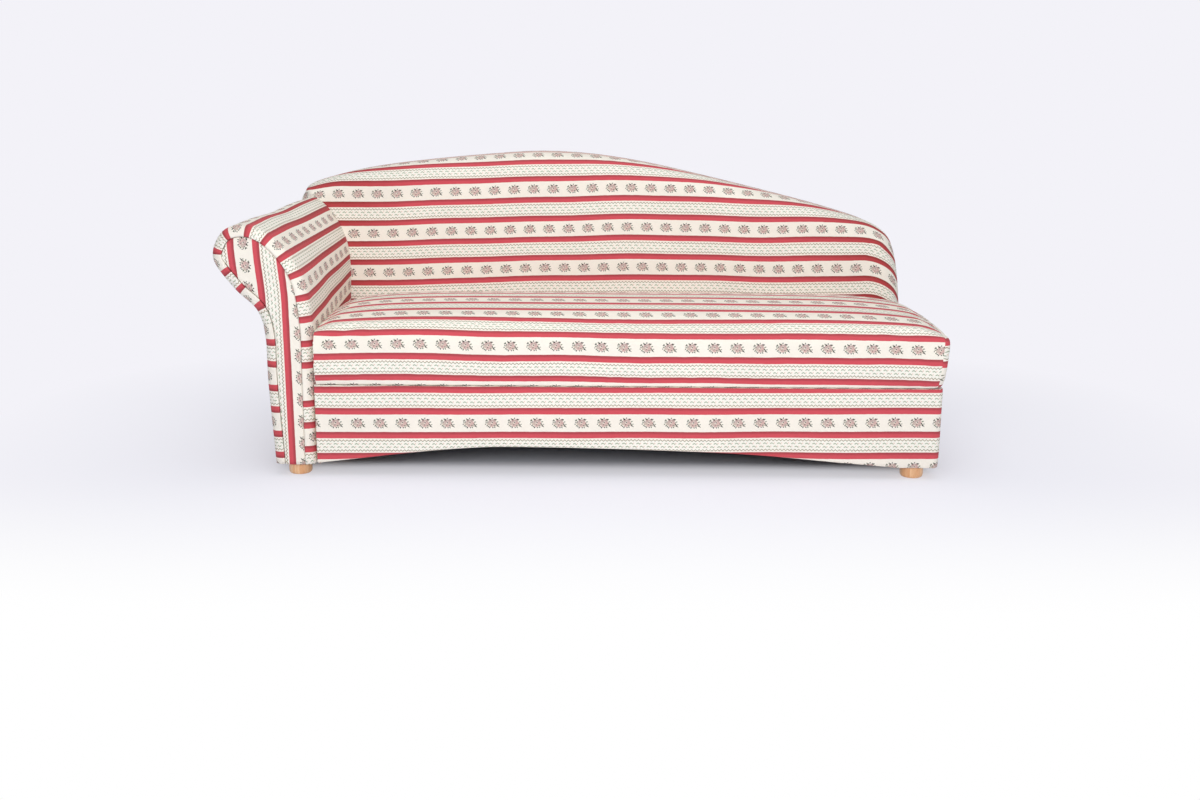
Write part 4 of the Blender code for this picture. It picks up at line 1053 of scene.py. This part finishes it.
tape_x = np.linspace(ZIP_X[0] - TAPE_TAIL, ZIP_X[1] + TAPE_TAIL, 260)
tape_z = ZIP_Z + np.linspace(-TAPE_WIDTH / 2, TAPE_WIDTH / 2, 11)[:, None]
tape_y = rear_wall(tape_z) + 0.0007 * np.cos(np.pi * (tape_z - ZIP_Z) / TAPE_WIDTH)
tape_place = np.stack([tape_x + 0 * tape_z, tape_y + 0 * tape_x, tape_z + 0 * tape_x], -1)
tape = sew("zip_tape", [(tape_place, tape_place[..., ::2])], (0.1, -0.1, 0.35))
tape.data.materials.append(plain_weave("cotton_tape", srgb(226, 214, 190), 0.0012))
wall(tape, 0.0006)
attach(tape, "seat_cushion")
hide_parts("cushion_zip")

wound = np.arange(ZIP_X[0], ZIP_X[1], ZIP_PITCH / 10)
phase = 2 * np.pi * wound / ZIP_PITCH
coil = np.stack([wound, rear_wall(ZIP_Z) + 0.0013 + COIL_RADII[0] * np.sin(phase),
                 ZIP_Z + COIL_RADII[1] * np.cos(phase)], -1)
heading = np.gradient(coil, axis=0)
heading /= np.linalg.norm(heading, axis=1)[:, None]
aside = np.cross(heading, [1.0, 0.0, 0.0])
aside /= np.linalg.norm(aside, axis=1)[:, None]
above = np.cross(heading, aside)
turns = np.linspace(0, 2 * np.pi, 6)[:, None]
wire = coil[:, None] + COIL_WIRE * (np.cos(turns) * aside[:, None] + np.sin(turns) * above[:, None])
teeth = sew("zip_coil", [(wire, wire[..., :2])], (0.15, 0.1, ZIP_Z))
nylon, tree, surface = new_material("nylon_coil")
worn = step(tree, "TexNoise", step(tree, "TexCoord", out=3), None, 400.0, 2.0)
shaded(tree, surface, {"Base Color": srgb(222, 208, 182),
                       "Roughness": step(tree, "MapRange", worn, 0.3, 0.7, 0.32, 0.46)})
teeth.data.materials.append(nylon)
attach(teeth, "seat_cushion")


def pebble(middle, half, square):
    """A block with rounded edges: a sphere whose cosines and sines are raised to a power below 1."""
    up, round_ = np.linspace(-np.pi / 2, np.pi / 2, 21)[:, None], np.linspace(-np.pi, np.pi, 41)
    ways = np.cos(up), np.sin(up), np.cos(round_), np.sin(round_)
    soft = [np.sign(way) * np.abs(way) ** square for way in ways]
    form = np.stack([soft[0] * soft[2], soft[0] * soft[3], soft[1] + 0 * round_], -1)
    place = np.asarray(middle) + np.asarray(half) * form
    return place, place[..., ::2]


near = rear_wall(ZIP_Z)
slider_body = pebble((SLIDER_X, near + 0.0017, ZIP_Z), (0.0060, 0.0014, 0.0044), 0.35)
pull_bridge = pebble((SLIDER_X, near + 0.0033, ZIP_Z), (0.0032, 0.0007, 0.0014), 0.45)
pull_tab = pebble((SLIDER_X, near + 0.0036, ZIP_Z - 0.0105), (0.0026, 0.0005, 0.0095), 0.45)
slider = sew("zip_slider_body", [slider_body, pull_bridge, pull_tab], (SLIDER_X, near, ZIP_Z))
slider.data.materials.append(zinc_steel)
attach(slider, "zip_slider")
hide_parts("zip_slider")


# Lining
# Black cambric tacked under the base between the rails, to keep dust in; it sags a little.

lining_low, lining_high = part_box("dust_cover")
u, v = np.linspace(0, 1, 121), np.linspace(0, 1, 51)[:, None]
lining_x = lining_low[0] + u * (lining_high[0] - lining_low[0]) + 0 * v
lining_y = lining_low[1] + v * (lining_high[1] - lining_low[1]) + 0 * u
sag = (1 - (2 * u - 1) ** 6) * (1 - (2 * v - 1) ** 6)
lining_z = lining_high[2] - 0.0006 - sag * (0.0034 + 0.0010 * unevenness(lining_x, lining_y, 0.25, 51))
lining_place = np.stack([lining_x, lining_y, lining_z], -1)
lining = sew("dust_lining", [(lining_place, lining_place[..., :2])], (0.1, 0.0, 0.2))
lining.data.materials.append(plain_weave("black_cambric", srgb(46, 45, 48), 0.0014))
wall(lining, 0.0006)
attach(lining, "sofa")
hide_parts("dust_cover")


# Feet
# Four short round feet turned from beech and clear lacquered, each screwed up on a bolt
# into the arm's sill or into a corner block of the base.

FOOT_PLACES = {"front_left": (-0.857, -0.357), "front_right": (0.998, -0.357),
               "rear_left": (-0.857, 0.355), "rear_right": (0.998, 0.355)}
FOOT_TOP = 0.0356
FOOT_PROFILE = [   # radius and height
    (0.0, 0.0), (0.022, 0.0), (0.0290, 0.0003), (0.0320, 0.0022), (0.0338, 0.0060), (0.0345, 0.0105),
    (0.0347, 0.018), (0.0345, 0.0285), (0.0338, 0.0335), (0.0325, 0.0352), (0.029, FOOT_TOP), (0.0, FOOT_TOP),
]

beech, shader = timber("lacquered_beech", srgb(244, 204, 158), srgb(226, 164, 112), 60.0, 0.34, 2)
shader.inputs["Coat Weight"].default_value = 0.35
shader.inputs["Coat Roughness"].default_value = 0.18
profile = through(FOOT_PROFILE, np.linspace(0, len(FOOT_PROFILE) - 1, 45))
profile[:, 0] = np.maximum(profile[:, 0], 0)
profile[:, 1] = np.clip(profile[:, 1], 0, FOOT_TOP)
turns = np.linspace(0, 2 * np.pi, 65)
for name, (x, y) in FOOT_PLACES.items():
    lathe = np.stack([x + profile[:, :1] * np.cos(turns), y + profile[:, :1] * np.sin(turns),
                      profile[:, 1:] + 0 * turns], -1)
    foot = sew(f"turned_foot_{name}", [(lathe, lathe[..., 1:])], (x, y, 0.018))
    foot.data.materials.append(beech)
    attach(foot, "sofa")
    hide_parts(f"foot_{name}")
